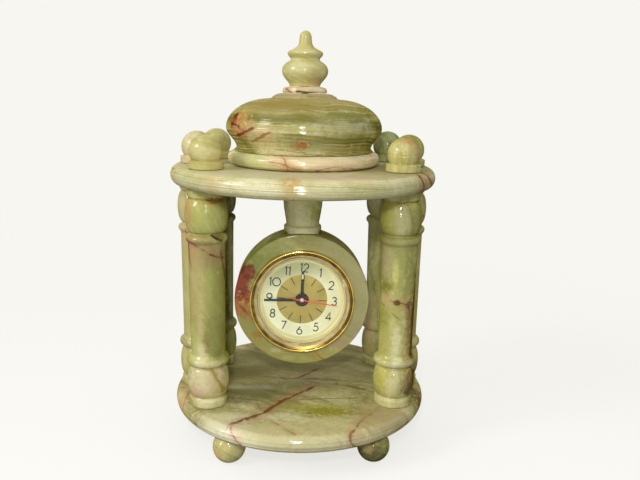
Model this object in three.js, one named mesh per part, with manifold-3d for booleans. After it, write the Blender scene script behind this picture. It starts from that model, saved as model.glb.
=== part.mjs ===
// A turned onyx pillar clock. A round base on ball feet carries six pillars in two groups of three.
// They hold up a round top with a ball over each pillar and a flattened dome in the middle.
// A stem under the top carries a stone drum, and a quartz clock insert sits in the bore of the drum.
// Millimetres, +Z up, the dial faces -Y, and Z = 0 is the surface that the feet stand on.

import * as THREE from "three";
import { mergeVertices } from "three/addons/utils/BufferGeometryUtils.js";
import Module from "manifold-3d";

const wasm = await Module();
wasm.setup();

// Clearances
const SEAT_GAP = 0.3; // glue line between two stone pieces
const HOLE_GAP = 0.3; // radial play round a rod or an arbor
const PLAY = 0.3; // gap between pieces of the clock insert

// How finely round pieces are divided, always a multiple of four
const SIDES = {
  disc: 40,
  drum: 40,
  dome: 32,
  insert: 28,
  collar: 20,
  pillar: 16,
  ball: 12,
  arbor: 12,
  rod: 8,
};

// Feet
const FOOT_R = 10.4;
const FOOT_FLAT_R = 2.8;
const FOOT_SEAT_R = 7;
const FOOT_FROM_RIM = 12; // centre of a foot inside the rim of the base
const FOOT_DEGREES = 51.8; // direction of a foot, up from the X axis

// Base and top
const BASE_R = 85.8;
const BASE_THICK = 11.3;
const TOP_R = 86.7;
const TOP_THICK = 11.8;

// Pillars, stood on one circle in two groups, with the front and the back left open
const PILLAR_CIRCLE_R = 70;
const PILLAR_H = 140.2;
const SHAFT_FOOT_R = 10.9;
const SHAFT_HEAD_R = 11.5;
const PILLAR_FOOT_R = 12.3;
const PILLAR_FOOT_H = 4.5;
const LOWER_BULB_R = 13.3;
const LOWER_BULB_UP = 16.1; // centre of the lower bulb above the foot of the pillar
const LOWER_BULB_H = 19.6;
const LOWER_BEAD_R = 13.6;
const LOWER_BEAD_UP = 30;
const UPPER_BEAD_R = 13.1;
const UPPER_BEAD_DOWN = 30.5; // widest place of the upper bead below the head of the pillar
const UPPER_BULB_R = 13.4;
const UPPER_BULB_DOWN = 16.2; // centre of the upper bulb below the head of the pillar
const UPPER_BULB_H = 20.8;
const PILLAR_HEAD_R = 11.8;
const PILLAR_HEAD_H = 4.6;
const GROOVE_R = 10.4; // bottom of the grooves beside the bulbs
const BEAD_HALF = 2.7; // half the height of a bead
const PILLARS = [
  { side: "right", degrees: 0 },
  { side: "back_right", degrees: 30 },
  { side: "back_left", degrees: 150 },
  { side: "left", degrees: 180 },
  { side: "front_left", degrees: 210 },
  { side: "front_right", degrees: 330 },
];

// Ball finials over the pillars
const BALL_R = 10.1;
const BALL_UP = 10.5; // centre of the ball above the foot of the finial
const BALL_COLLAR_R = 10.8;
const BALL_COLLAR_H = 4.7;
const BALL_NECK_R = 8.5;

// Tie rods through base, pillar and top into each ball, with a nut in a pocket under the base
const TIE_ROD_R = 2;
const TIE_ROD_INTO_BALL = 11;
const NUT_ACROSS_FLATS = 7;
const NUT_H = 3.2;
const NUT_POCKET_R = 6;
const NUT_POCKET_DEPTH = 5.6;

// Dome and its mouldings
const DOME_RING_R = 49.8;
const DOME_RING_H = 9;
const DOME_R = 50.9;
const DOME_FOOT_R = 45.6;
const DOME_NECK_R = 44.1; // bottom of the undercut
const DOME_NECK_UP = 1.5;
const DOME_BELLY_UP = 14.3; // widest place above the underside of the dome
const DOME_STEP_R = 21.5; // foot of the step on the shoulder
const DOME_STEP_H = 3.2;
const DOME_CROWN_R = 15.4; // flat top that carries the collar
const DOME_H = 36.4;
const COLLAR_R = 14.5;
const COLLAR_H = 4;

// Finial on the dome, with its heights counted up from its foot
const FINIAL_H = 34.7;
const FINIAL_FOOT_R = 10;
const FINIAL_URN_R = 14.9;
const FINIAL_URN_UP = 9.5;
const FINIAL_URN_H = 13;
const FINIAL_NECK_R = 9.4;
const FINIAL_NECK_UP = 17.3;
const FINIAL_RIM_R = 11.5;
const FINIAL_RIM_UP = 20.6;
const FINIAL_RIM_HALF = 1.3; // half the height of the rim
const FINIAL_ROD_R = 4;
const FINIAL_ROD_UP = 26.6; // where the cup has run out into the rod

// Stem, drum and the rod that ties them to the finial
const DRUM_Z = 92;
const DRUM_R = 45.2;
const DRUM_THICK = 28;
const DRUM_BORE_R = 31.2;
const STEM_HEAD_R = 14;
const STEM_FLARE_R = 12.7; // radius partway up, where the sweep from the waist eases
const STEM_FLARE_UP = 11.5;
const STEM_WAIST_R = 11;
const STEM_COLLAR_R = 12.6;
const STEM_COLLAR_UP = 4.4; // top of the stem's collar above the drum
const STEM_FOOT_DOWN = 6; // how far the cut stem reaches down beside the drum's crown
const DRUM_EDGE = 1; // bevel of the drum's edges
const CENTRE_ROD_R = 2.5;
const CENTRE_ROD_INTO_DRUM = 9.5;
const CENTRE_ROD_INTO_FINIAL = 12;

// Clock insert: depths are counted from the front face of the drum, and a minus is towards the viewer
const BEZEL_R = 35;
const BEZEL_LIP = 1; // how far the bezel laps over the lens
const BEZEL_ROLL_W = 1.4; // width of the rolled edge outside the groove
const BEZEL_FRONT = -4.6; // crest of the rolled edge
const BEZEL_SKIRT_R = 30.7;
const BEZEL_SKIRT_WALL = 0.7;
const BEZEL_SKIRT_END = 8;
const LENS_R = 31.6;
const LENS_THICK = 1.4;
const LENS_FRONT = -2.6;
const REFLECTOR_FRONT = -0.7;
const DIAL_DEPTH = 3.1;
const DIAL_THICK = 0.5;
const DIAL_VIEW_R = 27.7;
const CASE_BACK = 20.5;
const SEATING_RING_W = 6;
const SEATING_RING_R = 30.85;
const BATTERY_R = 5.8;
const BATTERY_H = 5.4;
const BATTERY_DOWN = 16;
const COVER_R = 7.3;
const COVER_H = 1.3;
const KNOB_R = 5.5;
const KNOB_H = 3;
const KNOB_RIDGES = 16;

// Hands, turned clockwise from twelve as seen from the front
const HOUR_TURN = 1;
const MINUTE_TURN = 270;
const SECOND_TURN = 99.5;
const HOUR_REACH = 19.8;
const MINUTE_REACH = 25.5;
const SECOND_REACH = 24.6;
const SECOND_TAIL = 6.2;
const HAND_THICK = 0.4;
const HOUR_HALF = 1.1; // half widths of the hands, at the boss and at the tip
const HOUR_TIP_HALF = 0.85;
const MINUTE_HALF = 0.95;
const MINUTE_TIP_HALF = 0.75;
const SECOND_HALF = 0.45;
const SECOND_TIP_HALF = 0.2;
const HOUR_BOSS_R = 4.6;
const MINUTE_BOSS_R = 3.4;
const SECOND_BOSS_R = 1.6;
const SECOND_CAP_R = 1.5;
const SECOND_CAP_H = 0.4;
const SECOND_ARBOR_R = 0.4;
const ARBOR_WALL = 0.5;
const HOUR_DEPTH = 2.2; // back face of each hand behind the drum's front face
const MINUTE_DEPTH = 1.4;
const SECOND_DEPTH = 0.7;

// Heights that follow from the sizes above
const footCentre = Math.sqrt(FOOT_R ** 2 - FOOT_FLAT_R ** 2);
const footTop = footCentre + Math.sqrt(FOOT_R ** 2 - FOOT_SEAT_R ** 2);
const baseBottom = footTop + SEAT_GAP;
const baseTop = baseBottom + BASE_THICK;
const pillarBottom = baseTop + SEAT_GAP;
const topBottom = pillarBottom + PILLAR_H + SEAT_GAP;
const topTop = topBottom + TOP_THICK;
const domeRingBottom = topTop + SEAT_GAP;
const domeBottom = domeRingBottom + DOME_RING_H + SEAT_GAP;
const collarBottom = domeBottom + DOME_H + SEAT_GAP;
const finialBottom = collarBottom + COLLAR_H + SEAT_GAP;
const drumTop = DRUM_Z + DRUM_R;
const drumFront = -DRUM_THICK / 2;
const tieRodHoleR = TIE_ROD_R + HOLE_GAP;
const centreRodHoleR = CENTRE_ROD_R + HOLE_GAP;

// Materials
const finishes = {
  onyx: { color: 0xb9b784, roughness: 0.18, metalness: 0 },
  onyx_pale: { color: 0xd3cfa6, roughness: 0.18, metalness: 0 },
  onyx_green: { color: 0x98985a, roughness: 0.18, metalness: 0 },
  onyx_pink: { color: 0xcdb892, roughness: 0.18, metalness: 0 },
  gold: { color: 0xd0a23c, roughness: 0.2, metalness: 1 },
  pale_gold: { color: 0xe3d8a8, roughness: 0.35, metalness: 0.6 },
  steel: { color: 0xa9abac, roughness: 0.35, metalness: 1 },
  brass: { color: 0xc8a75a, roughness: 0.3, metalness: 1 },
  lens: { color: 0xf4f8f8, roughness: 0.05, metalness: 0, transparent: true, opacity: 0.2 },
  dial: { color: 0xe6e5d2, roughness: 0.7, metalness: 0 },
  case_black: { color: 0x1d1d1c, roughness: 0.5, metalness: 0 },
  hand_black: { color: 0x141412, roughness: 0.4, metalness: 0 },
  hand_red: { color: 0xb03524, roughness: 0.4, metalness: 0 },
  rubber: { color: 0x2a2a2a, roughness: 0.8, metalness: 0 },
};

const clock = new THREE.Group();
clock.name = "pillar_clock";

// A closed manifold solid from a three.js geometry.
function solidOf(geometry) {
  geometry.deleteAttribute("normal");
  geometry.deleteAttribute("uv");
  const merged = mergeVertices(geometry, 1e-4);
  const corners = merged.index.array;
  const kept = [];
  for (let i = 0; i < corners.length; i += 3) {
    const [a, b, c] = [corners[i], corners[i + 1], corners[i + 2]];
    if (a !== b && b !== c && a !== c) kept.push(a, b, c);
  }
  return new wasm.Manifold(
    new wasm.Mesh({
      numProp: 3,
      vertProperties: merged.attributes.position.array,
      triVerts: new Uint32Array(kept),
    }),
  );
}

// A three.js geometry from a manifold solid.
function geometryOf(solid) {
  const mesh = solid.getMesh();
  const geometry = new THREE.BufferGeometry();
  geometry.setAttribute("position", new THREE.BufferAttribute(mesh.vertProperties, 3));
  geometry.setIndex(new THREE.BufferAttribute(mesh.triVerts, 1));
  const flat = geometry.toNonIndexed();
  flat.computeVertexNormals();
  return flat;
}

// Adds one named piece to the clock.
function piece(name, solid, finish) {
  const material = new THREE.MeshStandardMaterial(finishes[finish]);
  material.name = finish;
  const mesh = new THREE.Mesh(geometryOf(solid), material);
  mesh.name = name;
  clock.add(mesh);
}

// A turned piece: the profile holds [radius, height] pairs, up the outside and down the bore.
function turned(profile, sides) {
  const points = profile.map(([r, h]) => new THREE.Vector2(r, h));
  points.push(points[0].clone());
  return new THREE.LatheGeometry(points, sides);
}

// A piece turned about the Z axis.
function turnedUpright(profile, sides) {
  return solidOf(turned(profile, sides).rotateX(Math.PI / 2));
}

// A piece turned about the axis of the drum: the height in its profile is the depth from the drum's front.
function turnedOnDial(profile, sides) {
  return solidOf(turned(profile, sides).translate(0, drumFront, DRUM_Z));
}

function upright(radius, bottom, top, sides = SIDES.rod) {
  return turnedUpright([[0, bottom], [radius, bottom], [radius, top], [0, top]], sides);
}

function onDial(radius, front, back, sides = SIDES.insert) {
  return turnedOnDial([[0, front], [radius, front], [radius, back], [0, back]], sides);
}

function tubeOnDial(outer, inner, front, back, sides = SIDES.insert) {
  return turnedOnDial([[inner, front], [outer, front], [outer, back], [inner, back]], sides);
}

// Points on an ellipse about [centreR, centreH] from one angle to another, in degrees up from level.
function curve(centreR, centreH, halfWidth, halfHeight, from, to, steps) {
  const points = [];
  for (let i = 0; i <= steps; i++) {
    const angle = THREE.MathUtils.degToRad(from + ((to - from) * i) / steps);
    points.push([centreR + halfWidth * Math.cos(angle), centreH + halfHeight * Math.sin(angle)]);
  }
  return points;
}

// Points on an ogee, a double bend that starts and ends upright, from one radius and height to another.
function ogee(fromR, fromH, toR, toH, steps) {
  const points = [];
  for (let i = 0; i <= steps; i++) {
    const share = i / steps;
    const swing = (1 - Math.cos(Math.PI * share)) / 2;
    points.push([fromR + (toR - fromR) * swing, fromH + (toH - fromH) * share]);
  }
  return points;
}

// A flat outline seen from the front, given a thickness and set with its back at a depth in the drum.
function plate(shape, thickness, backDepth, turnDegrees = 0) {
  const geometry = new THREE.ExtrudeGeometry(shape, { depth: thickness, bevelEnabled: false });
  geometry.rotateX(Math.PI / 2);
  geometry.rotateY(THREE.MathUtils.degToRad(turnDegrees));
  geometry.translate(0, drumFront + backDepth, DRUM_Z);
  return solidOf(geometry);
}

function outline(points) {
  return new THREE.Shape(points.map(([x, y]) => new THREE.Vector2(x, y)));
}

const pillarPlaces = PILLARS.map(({ side, degrees }) => {
  const angle = THREE.MathUtils.degToRad(degrees);
  return { side, x: PILLAR_CIRCLE_R * Math.cos(angle), y: PILLAR_CIRCLE_R * Math.sin(angle) };
});

// Feet: balls with a small flat below and a larger flat glued to the base.
const flatAngle = THREE.MathUtils.radToDeg(Math.acos(FOOT_FLAT_R / FOOT_R));
const seatAngle = THREE.MathUtils.radToDeg(Math.acos(FOOT_SEAT_R / FOOT_R));
const foot = turnedUpright(
  [[0, 0], ...curve(0, footCentre, FOOT_R, FOOT_R, -flatAngle, seatAngle, 7), [0, footTop]],
  SIDES.ball,
);
const footX = (BASE_R - FOOT_FROM_RIM) * Math.cos(THREE.MathUtils.degToRad(FOOT_DEGREES));
const footY = (BASE_R - FOOT_FROM_RIM) * Math.sin(THREE.MathUtils.degToRad(FOOT_DEGREES));
for (const [side, x, y] of [
  ["front_left", -footX, -footY],
  ["front_right", footX, -footY],
  ["back_left", -footX, footY],
  ["back_right", footX, footY],
]) {
  piece("foot_" + side, foot.translate([x, y, 0]), "onyx_green");
}

// A disc with a fully rounded rim.
function roundedDisc(radius, bottom, thickness) {
  const half = thickness / 2;
  return turnedUpright(
    [[0, bottom], ...curve(radius - half, bottom + half, half, half, -90, 90, 4), [0, bottom + thickness]],
    SIDES.disc,
  );
}

let baseDisc = roundedDisc(BASE_R, baseBottom, BASE_THICK);
let topDisc = roundedDisc(TOP_R, topBottom, TOP_THICK);
for (const { x, y } of pillarPlaces) {
  const hole = upright(tieRodHoleR, baseBottom - 1, topTop + 1).translate([x, y, 0]);
  const pocket = upright(NUT_POCKET_R, baseBottom - 1, baseBottom + NUT_POCKET_DEPTH).translate([x, y, 0]);
  baseDisc = baseDisc.subtract(hole).subtract(pocket);
  topDisc = topDisc.subtract(hole);
}
topDisc = topDisc.subtract(upright(centreRodHoleR, topBottom - 1, topTop + 1));
piece("base_disc", baseDisc, "onyx_pale");
piece("top_disc", topDisc, "onyx_pale");

// Pillar: mouldings at the foot are counted up from its bottom, those at the head down from its top.
const head = PILLAR_H;
const upperBead = head - UPPER_BEAD_DOWN;
const upperBulb = head - UPPER_BULB_DOWN;
const pillarProfile = [
  [tieRodHoleR, 0],
  [PILLAR_FOOT_R, 0],
  [PILLAR_FOOT_R, PILLAR_FOOT_H],
  ...curve(GROOVE_R, LOWER_BULB_UP, LOWER_BULB_R - GROOVE_R, LOWER_BULB_H / 2, -90, 90, 4),
  [LOWER_BEAD_R - 0.7, LOWER_BEAD_UP - BEAD_HALF],
  [LOWER_BEAD_R, LOWER_BEAD_UP],
  [LOWER_BEAD_R - 0.9, LOWER_BEAD_UP + BEAD_HALF],
  [SHAFT_FOOT_R, LOWER_BEAD_UP + BEAD_HALF + 1.2],
  [SHAFT_HEAD_R, upperBead - BEAD_HALF],
  [UPPER_BEAD_R - 0.4, upperBead - BEAD_HALF / 2],
  [UPPER_BEAD_R, upperBead],
  [GROOVE_R, upperBead + BEAD_HALF],
  ...curve(GROOVE_R, upperBulb, UPPER_BULB_R - GROOVE_R, UPPER_BULB_H / 2, -90, 90, 4),
  [PILLAR_HEAD_R, head - PILLAR_HEAD_H],
  [PILLAR_HEAD_R, head],
  [tieRodHoleR, head],
];
const pillar = turnedUpright(pillarProfile, SIDES.pillar);

// Ball finial: a low collar, a cut groove, then the ball, with a blind hole for the rod.
const neckAngle = THREE.MathUtils.radToDeg(Math.acos(BALL_NECK_R / BALL_R));
const ballFinial = turnedUpright(
  [
    [0, TIE_ROD_INTO_BALL + 1],
    [tieRodHoleR, TIE_ROD_INTO_BALL + 1],
    [tieRodHoleR, 0],
    [BALL_COLLAR_R, 0],
    [BALL_COLLAR_R, BALL_COLLAR_H],
    ...curve(0, BALL_UP, BALL_R, BALL_R, -neckAngle, 90, 5),
  ],
  SIDES.ball,
);

// Tie rod, and its nut under the base.
const tieRodBottom = baseBottom + 0.8;
const tieRod = upright(TIE_ROD_R, tieRodBottom, topTop + SEAT_GAP + TIE_ROD_INTO_BALL);
const nutTop = baseBottom + NUT_POCKET_DEPTH - SEAT_GAP;
const nut = upright(NUT_ACROSS_FLATS / Math.sqrt(3), nutTop - NUT_H, nutTop, 6)
  .subtract(upright(tieRodHoleR, nutTop - NUT_H - 1, nutTop + 1));

const pillarTints = { front_left: "onyx_green", left: "onyx", back_left: "onyx_green" };
for (const { side, x, y } of pillarPlaces) {
  piece("pillar_" + side, pillar.translate([x, y, pillarBottom]), pillarTints[side] || "onyx");
  piece("ball_finial_" + side, ballFinial.translate([x, y, topTop + SEAT_GAP]), "onyx");
  piece("tie_rod_" + side, tieRod.translate([x, y, 0]), "steel");
  piece("rod_nut_" + side, nut.translate([x, y, 0]), "steel");
}

// Dome base ring: one round bead.
const beadHalf = DOME_RING_H / 2;
const domeRing = turnedUpright(
  [
    [centreRodHoleR, 0],
    [DOME_RING_R - beadHalf, 0],
    ...curve(DOME_RING_R - beadHalf, beadHalf, beadHalf, beadHalf, -75, 75, 4),
    [DOME_RING_R - beadHalf, DOME_RING_H],
    [centreRodHoleR, DOME_RING_H],
  ],
  SIDES.dome,
).translate([0, 0, domeRingBottom]);
piece("dome_base_ring", domeRing, "onyx_pink");

// Dome: an undercut lower half, a full shoulder, then a small step that carries the collar.
const stepFoot = DOME_H - DOME_STEP_H;
const stepDepth = DOME_STEP_R - DOME_CROWN_R;
const dome = turnedUpright(
  [
    [centreRodHoleR, 0],
    [DOME_FOOT_R, 0],
    ...ogee(DOME_NECK_R, DOME_NECK_UP, DOME_R, DOME_BELLY_UP, 4),
    ...curve(DOME_STEP_R, DOME_BELLY_UP, DOME_R - DOME_STEP_R, stepFoot - DOME_BELLY_UP, 0, 85, 5).slice(1),
    [DOME_STEP_R, stepFoot],
    [DOME_STEP_R - stepDepth * 0.2, stepFoot + DOME_STEP_H * 0.45],
    [DOME_STEP_R - stepDepth * 0.6, stepFoot + DOME_STEP_H * 0.82],
    [DOME_CROWN_R, DOME_H],
    [centreRodHoleR, DOME_H],
  ],
  SIDES.dome,
).translate([0, 0, domeBottom]);
piece("dome", dome, "onyx_green");

const finialCollar = turnedUpright(
  [
    [centreRodHoleR, 0],
    [COLLAR_R - 0.5, 0],
    [COLLAR_R, COLLAR_H * 0.25],
    [COLLAR_R - 0.4, COLLAR_H * 0.7],
    [FINIAL_FOOT_R + 0.8, COLLAR_H],
    [centreRodHoleR, COLLAR_H],
  ],
  SIDES.collar,
).translate([0, 0, collarBottom]);
piece("finial_collar", finialCollar, "onyx_pink");

// Dome finial: foot, squat urn, neck, cupped rim, and a rod with a round tip.
const rodHoleTop = CENTRE_ROD_INTO_FINIAL + 1;
const cupRise = FINIAL_ROD_UP - FINIAL_RIM_UP;
const domeFinial = turnedUpright(
  [
    [0, rodHoleTop],
    [centreRodHoleR, rodHoleTop],
    [centreRodHoleR, 0],
    [FINIAL_FOOT_R, 0],
    ...curve(FINIAL_NECK_R, FINIAL_URN_UP, FINIAL_URN_R - FINIAL_NECK_R, FINIAL_URN_H / 2, -80, 80, 6),
    [FINIAL_NECK_R, FINIAL_NECK_UP],
    [FINIAL_RIM_R * 0.94, FINIAL_RIM_UP - FINIAL_RIM_HALF],
    [FINIAL_RIM_R, FINIAL_RIM_UP],
    [FINIAL_RIM_R * 0.92, FINIAL_RIM_UP + FINIAL_RIM_HALF],
    [FINIAL_ROD_R * 2, FINIAL_RIM_UP + cupRise * 0.43],
    [FINIAL_ROD_R * 1.4, FINIAL_RIM_UP + cupRise * 0.68],
    [FINIAL_ROD_R * 1.08, FINIAL_ROD_UP],
    ...curve(0, FINIAL_H - FINIAL_ROD_R, FINIAL_ROD_R * 0.95, FINIAL_ROD_R, 0, 90, 3),
  ],
  SIDES.pillar,
).translate([0, 0, finialBottom]);
piece("dome_finial", domeFinial, "onyx");

// Stem: flared head under the top, a waist, and a collar cut to sit on the drum.
const stemTop = topBottom - SEAT_GAP;
const collarTop = drumTop + STEM_COLLAR_UP;
const saddle = onDial(DRUM_R + SEAT_GAP, -DRUM_THICK, 2 * DRUM_THICK, SIDES.drum);
const stem = turnedUpright(
  [
    [centreRodHoleR, drumTop - STEM_FOOT_DOWN],
    [STEM_COLLAR_R, drumTop - STEM_FOOT_DOWN],
    [STEM_COLLAR_R, collarTop - 0.8],
    [STEM_COLLAR_R - 0.6, collarTop - 0.2],
    [STEM_WAIST_R, collarTop + 0.3],
    [STEM_WAIST_R + 0.35, collarTop + STEM_FLARE_UP * 0.3],
    [STEM_FLARE_R, collarTop + STEM_FLARE_UP],
    [STEM_HEAD_R - 0.3, stemTop - 4],
    [STEM_HEAD_R, stemTop],
    [centreRodHoleR, stemTop],
  ],
  SIDES.pillar,
).subtract(saddle);
piece("hanging_stem", stem, "onyx");

// Clock drum, with softened edges, the bore for the insert and a blind hole for the rod.
const centreRodBottom = drumTop - CENTRE_ROD_INTO_DRUM;
const drum = turnedOnDial(
  [
    [DRUM_BORE_R, 0],
    [DRUM_R - DRUM_EDGE, 0],
    [DRUM_R, DRUM_EDGE],
    [DRUM_R, DRUM_THICK - DRUM_EDGE],
    [DRUM_R - DRUM_EDGE, DRUM_THICK],
    [DRUM_BORE_R, DRUM_THICK],
  ],
  SIDES.drum,
).subtract(upright(centreRodHoleR, centreRodBottom - 0.5, drumTop + 5));
piece("clock_drum", drum, "onyx");
piece("centre_rod", upright(CENTRE_ROD_R, centreRodBottom, finialBottom + CENTRE_ROD_INTO_FINIAL), "steel");

// Bezel: a rolled edge, a groove, a face that slopes in to the lip over the lens, and a skirt in the bore.
const skirtInner = BEZEL_SKIRT_R - BEZEL_SKIRT_WALL;
const lipFront = LENS_FRONT - PLAY;
const lensBack = LENS_FRONT + LENS_THICK;
const lipR = LENS_R - BEZEL_LIP;
const grooveR = BEZEL_R - BEZEL_ROLL_W;
const bezel = turnedOnDial(
  [
    [skirtInner, BEZEL_SKIRT_END],
    [skirtInner, lensBack + 0.2],
    [LENS_R + PLAY, lensBack + 0.2],
    [LENS_R + PLAY, lipFront],
    [lipR, lipFront],
    [lipR, lipFront - 0.4],
    [grooveR - 0.3, BEZEL_FRONT + 0.3],
    [grooveR, BEZEL_FRONT + 0.7],
    [BEZEL_R - BEZEL_ROLL_W / 2, BEZEL_FRONT],
    [BEZEL_R, BEZEL_FRONT + BEZEL_ROLL_W * 0.7],
    [BEZEL_R - 0.3, -SEAT_GAP],
    [BEZEL_SKIRT_R, -SEAT_GAP],
    [BEZEL_SKIRT_R, BEZEL_SKIRT_END],
  ],
  SIDES.insert,
);
piece("bezel", bezel, "gold");

const insideR = skirtInner - PLAY;
piece("lens", onDial(LENS_R, LENS_FRONT, lensBack), "lens");

// Reflector: a sloping ring between the lens and the dial.
const reflectorBack = DIAL_DEPTH - PLAY;
const reflector = turnedOnDial(
  [
    [insideR - 0.5, REFLECTOR_FRONT],
    [insideR, REFLECTOR_FRONT],
    [insideR, reflectorBack],
    [DIAL_VIEW_R, reflectorBack],
    [DIAL_VIEW_R, reflectorBack - 0.4],
  ],
  SIDES.insert,
);
piece("reflector_ring", reflector, "pale_gold");

// Arbors run one inside the next through the dial.
const minuteArborBore = SECOND_ARBOR_R + HOLE_GAP;
const minuteArborR = minuteArborBore + ARBOR_WALL;
const hourTubeBore = minuteArborR + HOLE_GAP;
const hourTubeR = hourTubeBore + ARBOR_WALL;
const dialHoleR = hourTubeR + HOLE_GAP;
piece("dial", tubeOnDial(insideR, dialHoleR, DIAL_DEPTH, DIAL_DEPTH + DIAL_THICK), "dial");

// Movement case: a round plastic can with a battery pocket and a stepped hole for the arbors.
const caseFront = DIAL_DEPTH + DIAL_THICK + PLAY;
const hourTubeEnd = caseFront + 3;
const minuteArborEnd = CASE_BACK - 3;
const knobShaftR = 1.3;
const coverSeat = CASE_BACK - COVER_H - PLAY;
const batteryBack = coverSeat - PLAY;
const batteryFront = batteryBack - BATTERY_H;
const batteryPocket = onDial(BATTERY_R + PLAY, batteryFront - PLAY, CASE_BACK + 1, SIDES.pillar);
const coverPocket = onDial(COVER_R + PLAY, coverSeat, CASE_BACK + 1, SIDES.pillar);
const movementCase = onDial(insideR, caseFront, CASE_BACK)
  .subtract(onDial(dialHoleR, caseFront - 1, hourTubeEnd + PLAY, SIDES.arbor))
  .subtract(onDial(knobShaftR + HOLE_GAP, caseFront, CASE_BACK + 1, SIDES.arbor))
  .subtract(batteryPocket.translate([0, 0, -BATTERY_DOWN]))
  .subtract(coverPocket.translate([0, 0, -BATTERY_DOWN]));
piece("movement_case", movementCase, "case_black");

const seatingFront = BEZEL_SKIRT_END + PLAY;
const seatingRing = tubeOnDial(SEATING_RING_R, insideR + PLAY, seatingFront, seatingFront + SEATING_RING_W);
piece("seating_ring", seatingRing, "rubber");

const battery = turnedOnDial(
  [
    [0, batteryFront],
    [BATTERY_R - 1.2, batteryFront],
    [BATTERY_R - 1.2, batteryFront + 0.6],
    [BATTERY_R, batteryFront + 0.6],
    [BATTERY_R, batteryBack],
    [0, batteryBack],
  ],
  SIDES.pillar,
).translate([0, 0, -BATTERY_DOWN]);
piece("battery", battery, "steel");

// Battery cover, with a coin slot across it.
const coinSlot = plate(outline([[-4, -0.6], [4, -0.6], [4, 0.6], [-4, 0.6]]), 1, CASE_BACK + 0.5);
const cover = onDial(COVER_R, CASE_BACK - COVER_H, CASE_BACK, SIDES.pillar).subtract(coinSlot);
piece("battery_cover", cover.translate([0, 0, -BATTERY_DOWN]), "case_black");

// Setting knob: a ridged wheel behind the case on the arbor that carries the minute hand.
const ridges = [];
for (let i = 0; i < KNOB_RIDGES * 2; i++) {
  const angle = (Math.PI * i) / KNOB_RIDGES;
  const radius = i % 2 ? KNOB_R : KNOB_R - 0.4;
  ridges.push([radius * Math.cos(angle), radius * Math.sin(angle)]);
}
const knobFront = CASE_BACK + PLAY;
const knob = plate(outline(ridges), KNOB_H, knobFront + KNOB_H)
  .add(onDial(knobShaftR, minuteArborEnd + PLAY, knobFront + 0.5, SIDES.arbor));
piece("set_knob", knob, "case_black");

// Hour hand: a tapered baton on a round boss, with its tube.
const hourBar = plate(
  outline([[-HOUR_HALF, 0], [HOUR_HALF, 0], [HOUR_TIP_HALF, HOUR_REACH], [-HOUR_TIP_HALF, HOUR_REACH]]),
  HAND_THICK,
  HOUR_DEPTH,
  HOUR_TURN,
);
const hourHand = hourBar
  .add(onDial(HOUR_BOSS_R, HOUR_DEPTH - HAND_THICK, HOUR_DEPTH, SIDES.collar))
  .subtract(onDial(hourTubeBore, HOUR_DEPTH - 2, HOUR_DEPTH + 2, SIDES.arbor));
piece("hour_hand", hourHand, "hand_black");
piece("hour_tube", tubeOnDial(hourTubeR, hourTubeBore, HOUR_DEPTH + 0.1, hourTubeEnd, SIDES.arbor), "brass");

// Minute hand: a longer baton on a smaller boss, with its hollow arbor.
const minuteBar = plate(
  outline([
    [-MINUTE_HALF, 0],
    [MINUTE_HALF, 0],
    [MINUTE_TIP_HALF, MINUTE_REACH],
    [-MINUTE_TIP_HALF, MINUTE_REACH],
  ]),
  HAND_THICK,
  MINUTE_DEPTH,
  MINUTE_TURN,
);
const minuteHand = minuteBar
  .add(onDial(MINUTE_BOSS_R, MINUTE_DEPTH - HAND_THICK, MINUTE_DEPTH, SIDES.collar))
  .subtract(onDial(minuteArborBore, MINUTE_DEPTH - 2, MINUTE_DEPTH + 2, SIDES.arbor));
piece("minute_hand", minuteHand, "hand_black");
const minuteArbor = tubeOnDial(
  minuteArborR,
  minuteArborBore,
  MINUTE_DEPTH + 0.1,
  minuteArborEnd,
  SIDES.arbor,
);
piece("minute_arbor", minuteArbor, "brass");

// Second hand: a needle with a tail on a small boss, and a bright cap on a pin down the minute arbor.
const secondFront = SECOND_DEPTH - HAND_THICK;
const needle = plate(
  outline([
    [-SECOND_HALF, -SECOND_TAIL],
    [SECOND_HALF, -SECOND_TAIL],
    [SECOND_TIP_HALF, SECOND_REACH],
    [-SECOND_TIP_HALF, SECOND_REACH],
  ]),
  HAND_THICK,
  SECOND_DEPTH,
  SECOND_TURN,
);
const secondHand = needle
  .add(onDial(SECOND_BOSS_R, secondFront, SECOND_DEPTH, SIDES.arbor))
  .subtract(onDial(minuteArborBore, secondFront - 1, SECOND_DEPTH + 1, SIDES.arbor));
const capBack = secondFront - 0.1;
const secondCap = turnedOnDial(
  [
    [0, capBack - SECOND_CAP_H],
    [SECOND_CAP_R * 0.6, capBack - SECOND_CAP_H],
    [SECOND_CAP_R, capBack - SECOND_CAP_H / 4],
    [SECOND_CAP_R, capBack],
    [SECOND_ARBOR_R, capBack],
    [SECOND_ARBOR_R, hourTubeEnd],
    [0, hourTubeEnd],
  ],
  SIDES.arbor,
);
piece("second_hand", secondHand, "hand_red");
piece("second_cap", secondCap, "steel");

export default clock;
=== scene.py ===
"""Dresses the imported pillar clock: veined onyx, a gilt bezel, a printed dial and its hands."""

import math
from collections import namedtuple

import bmesh
import bpy
from mathutils import Matrix, Vector


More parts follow.
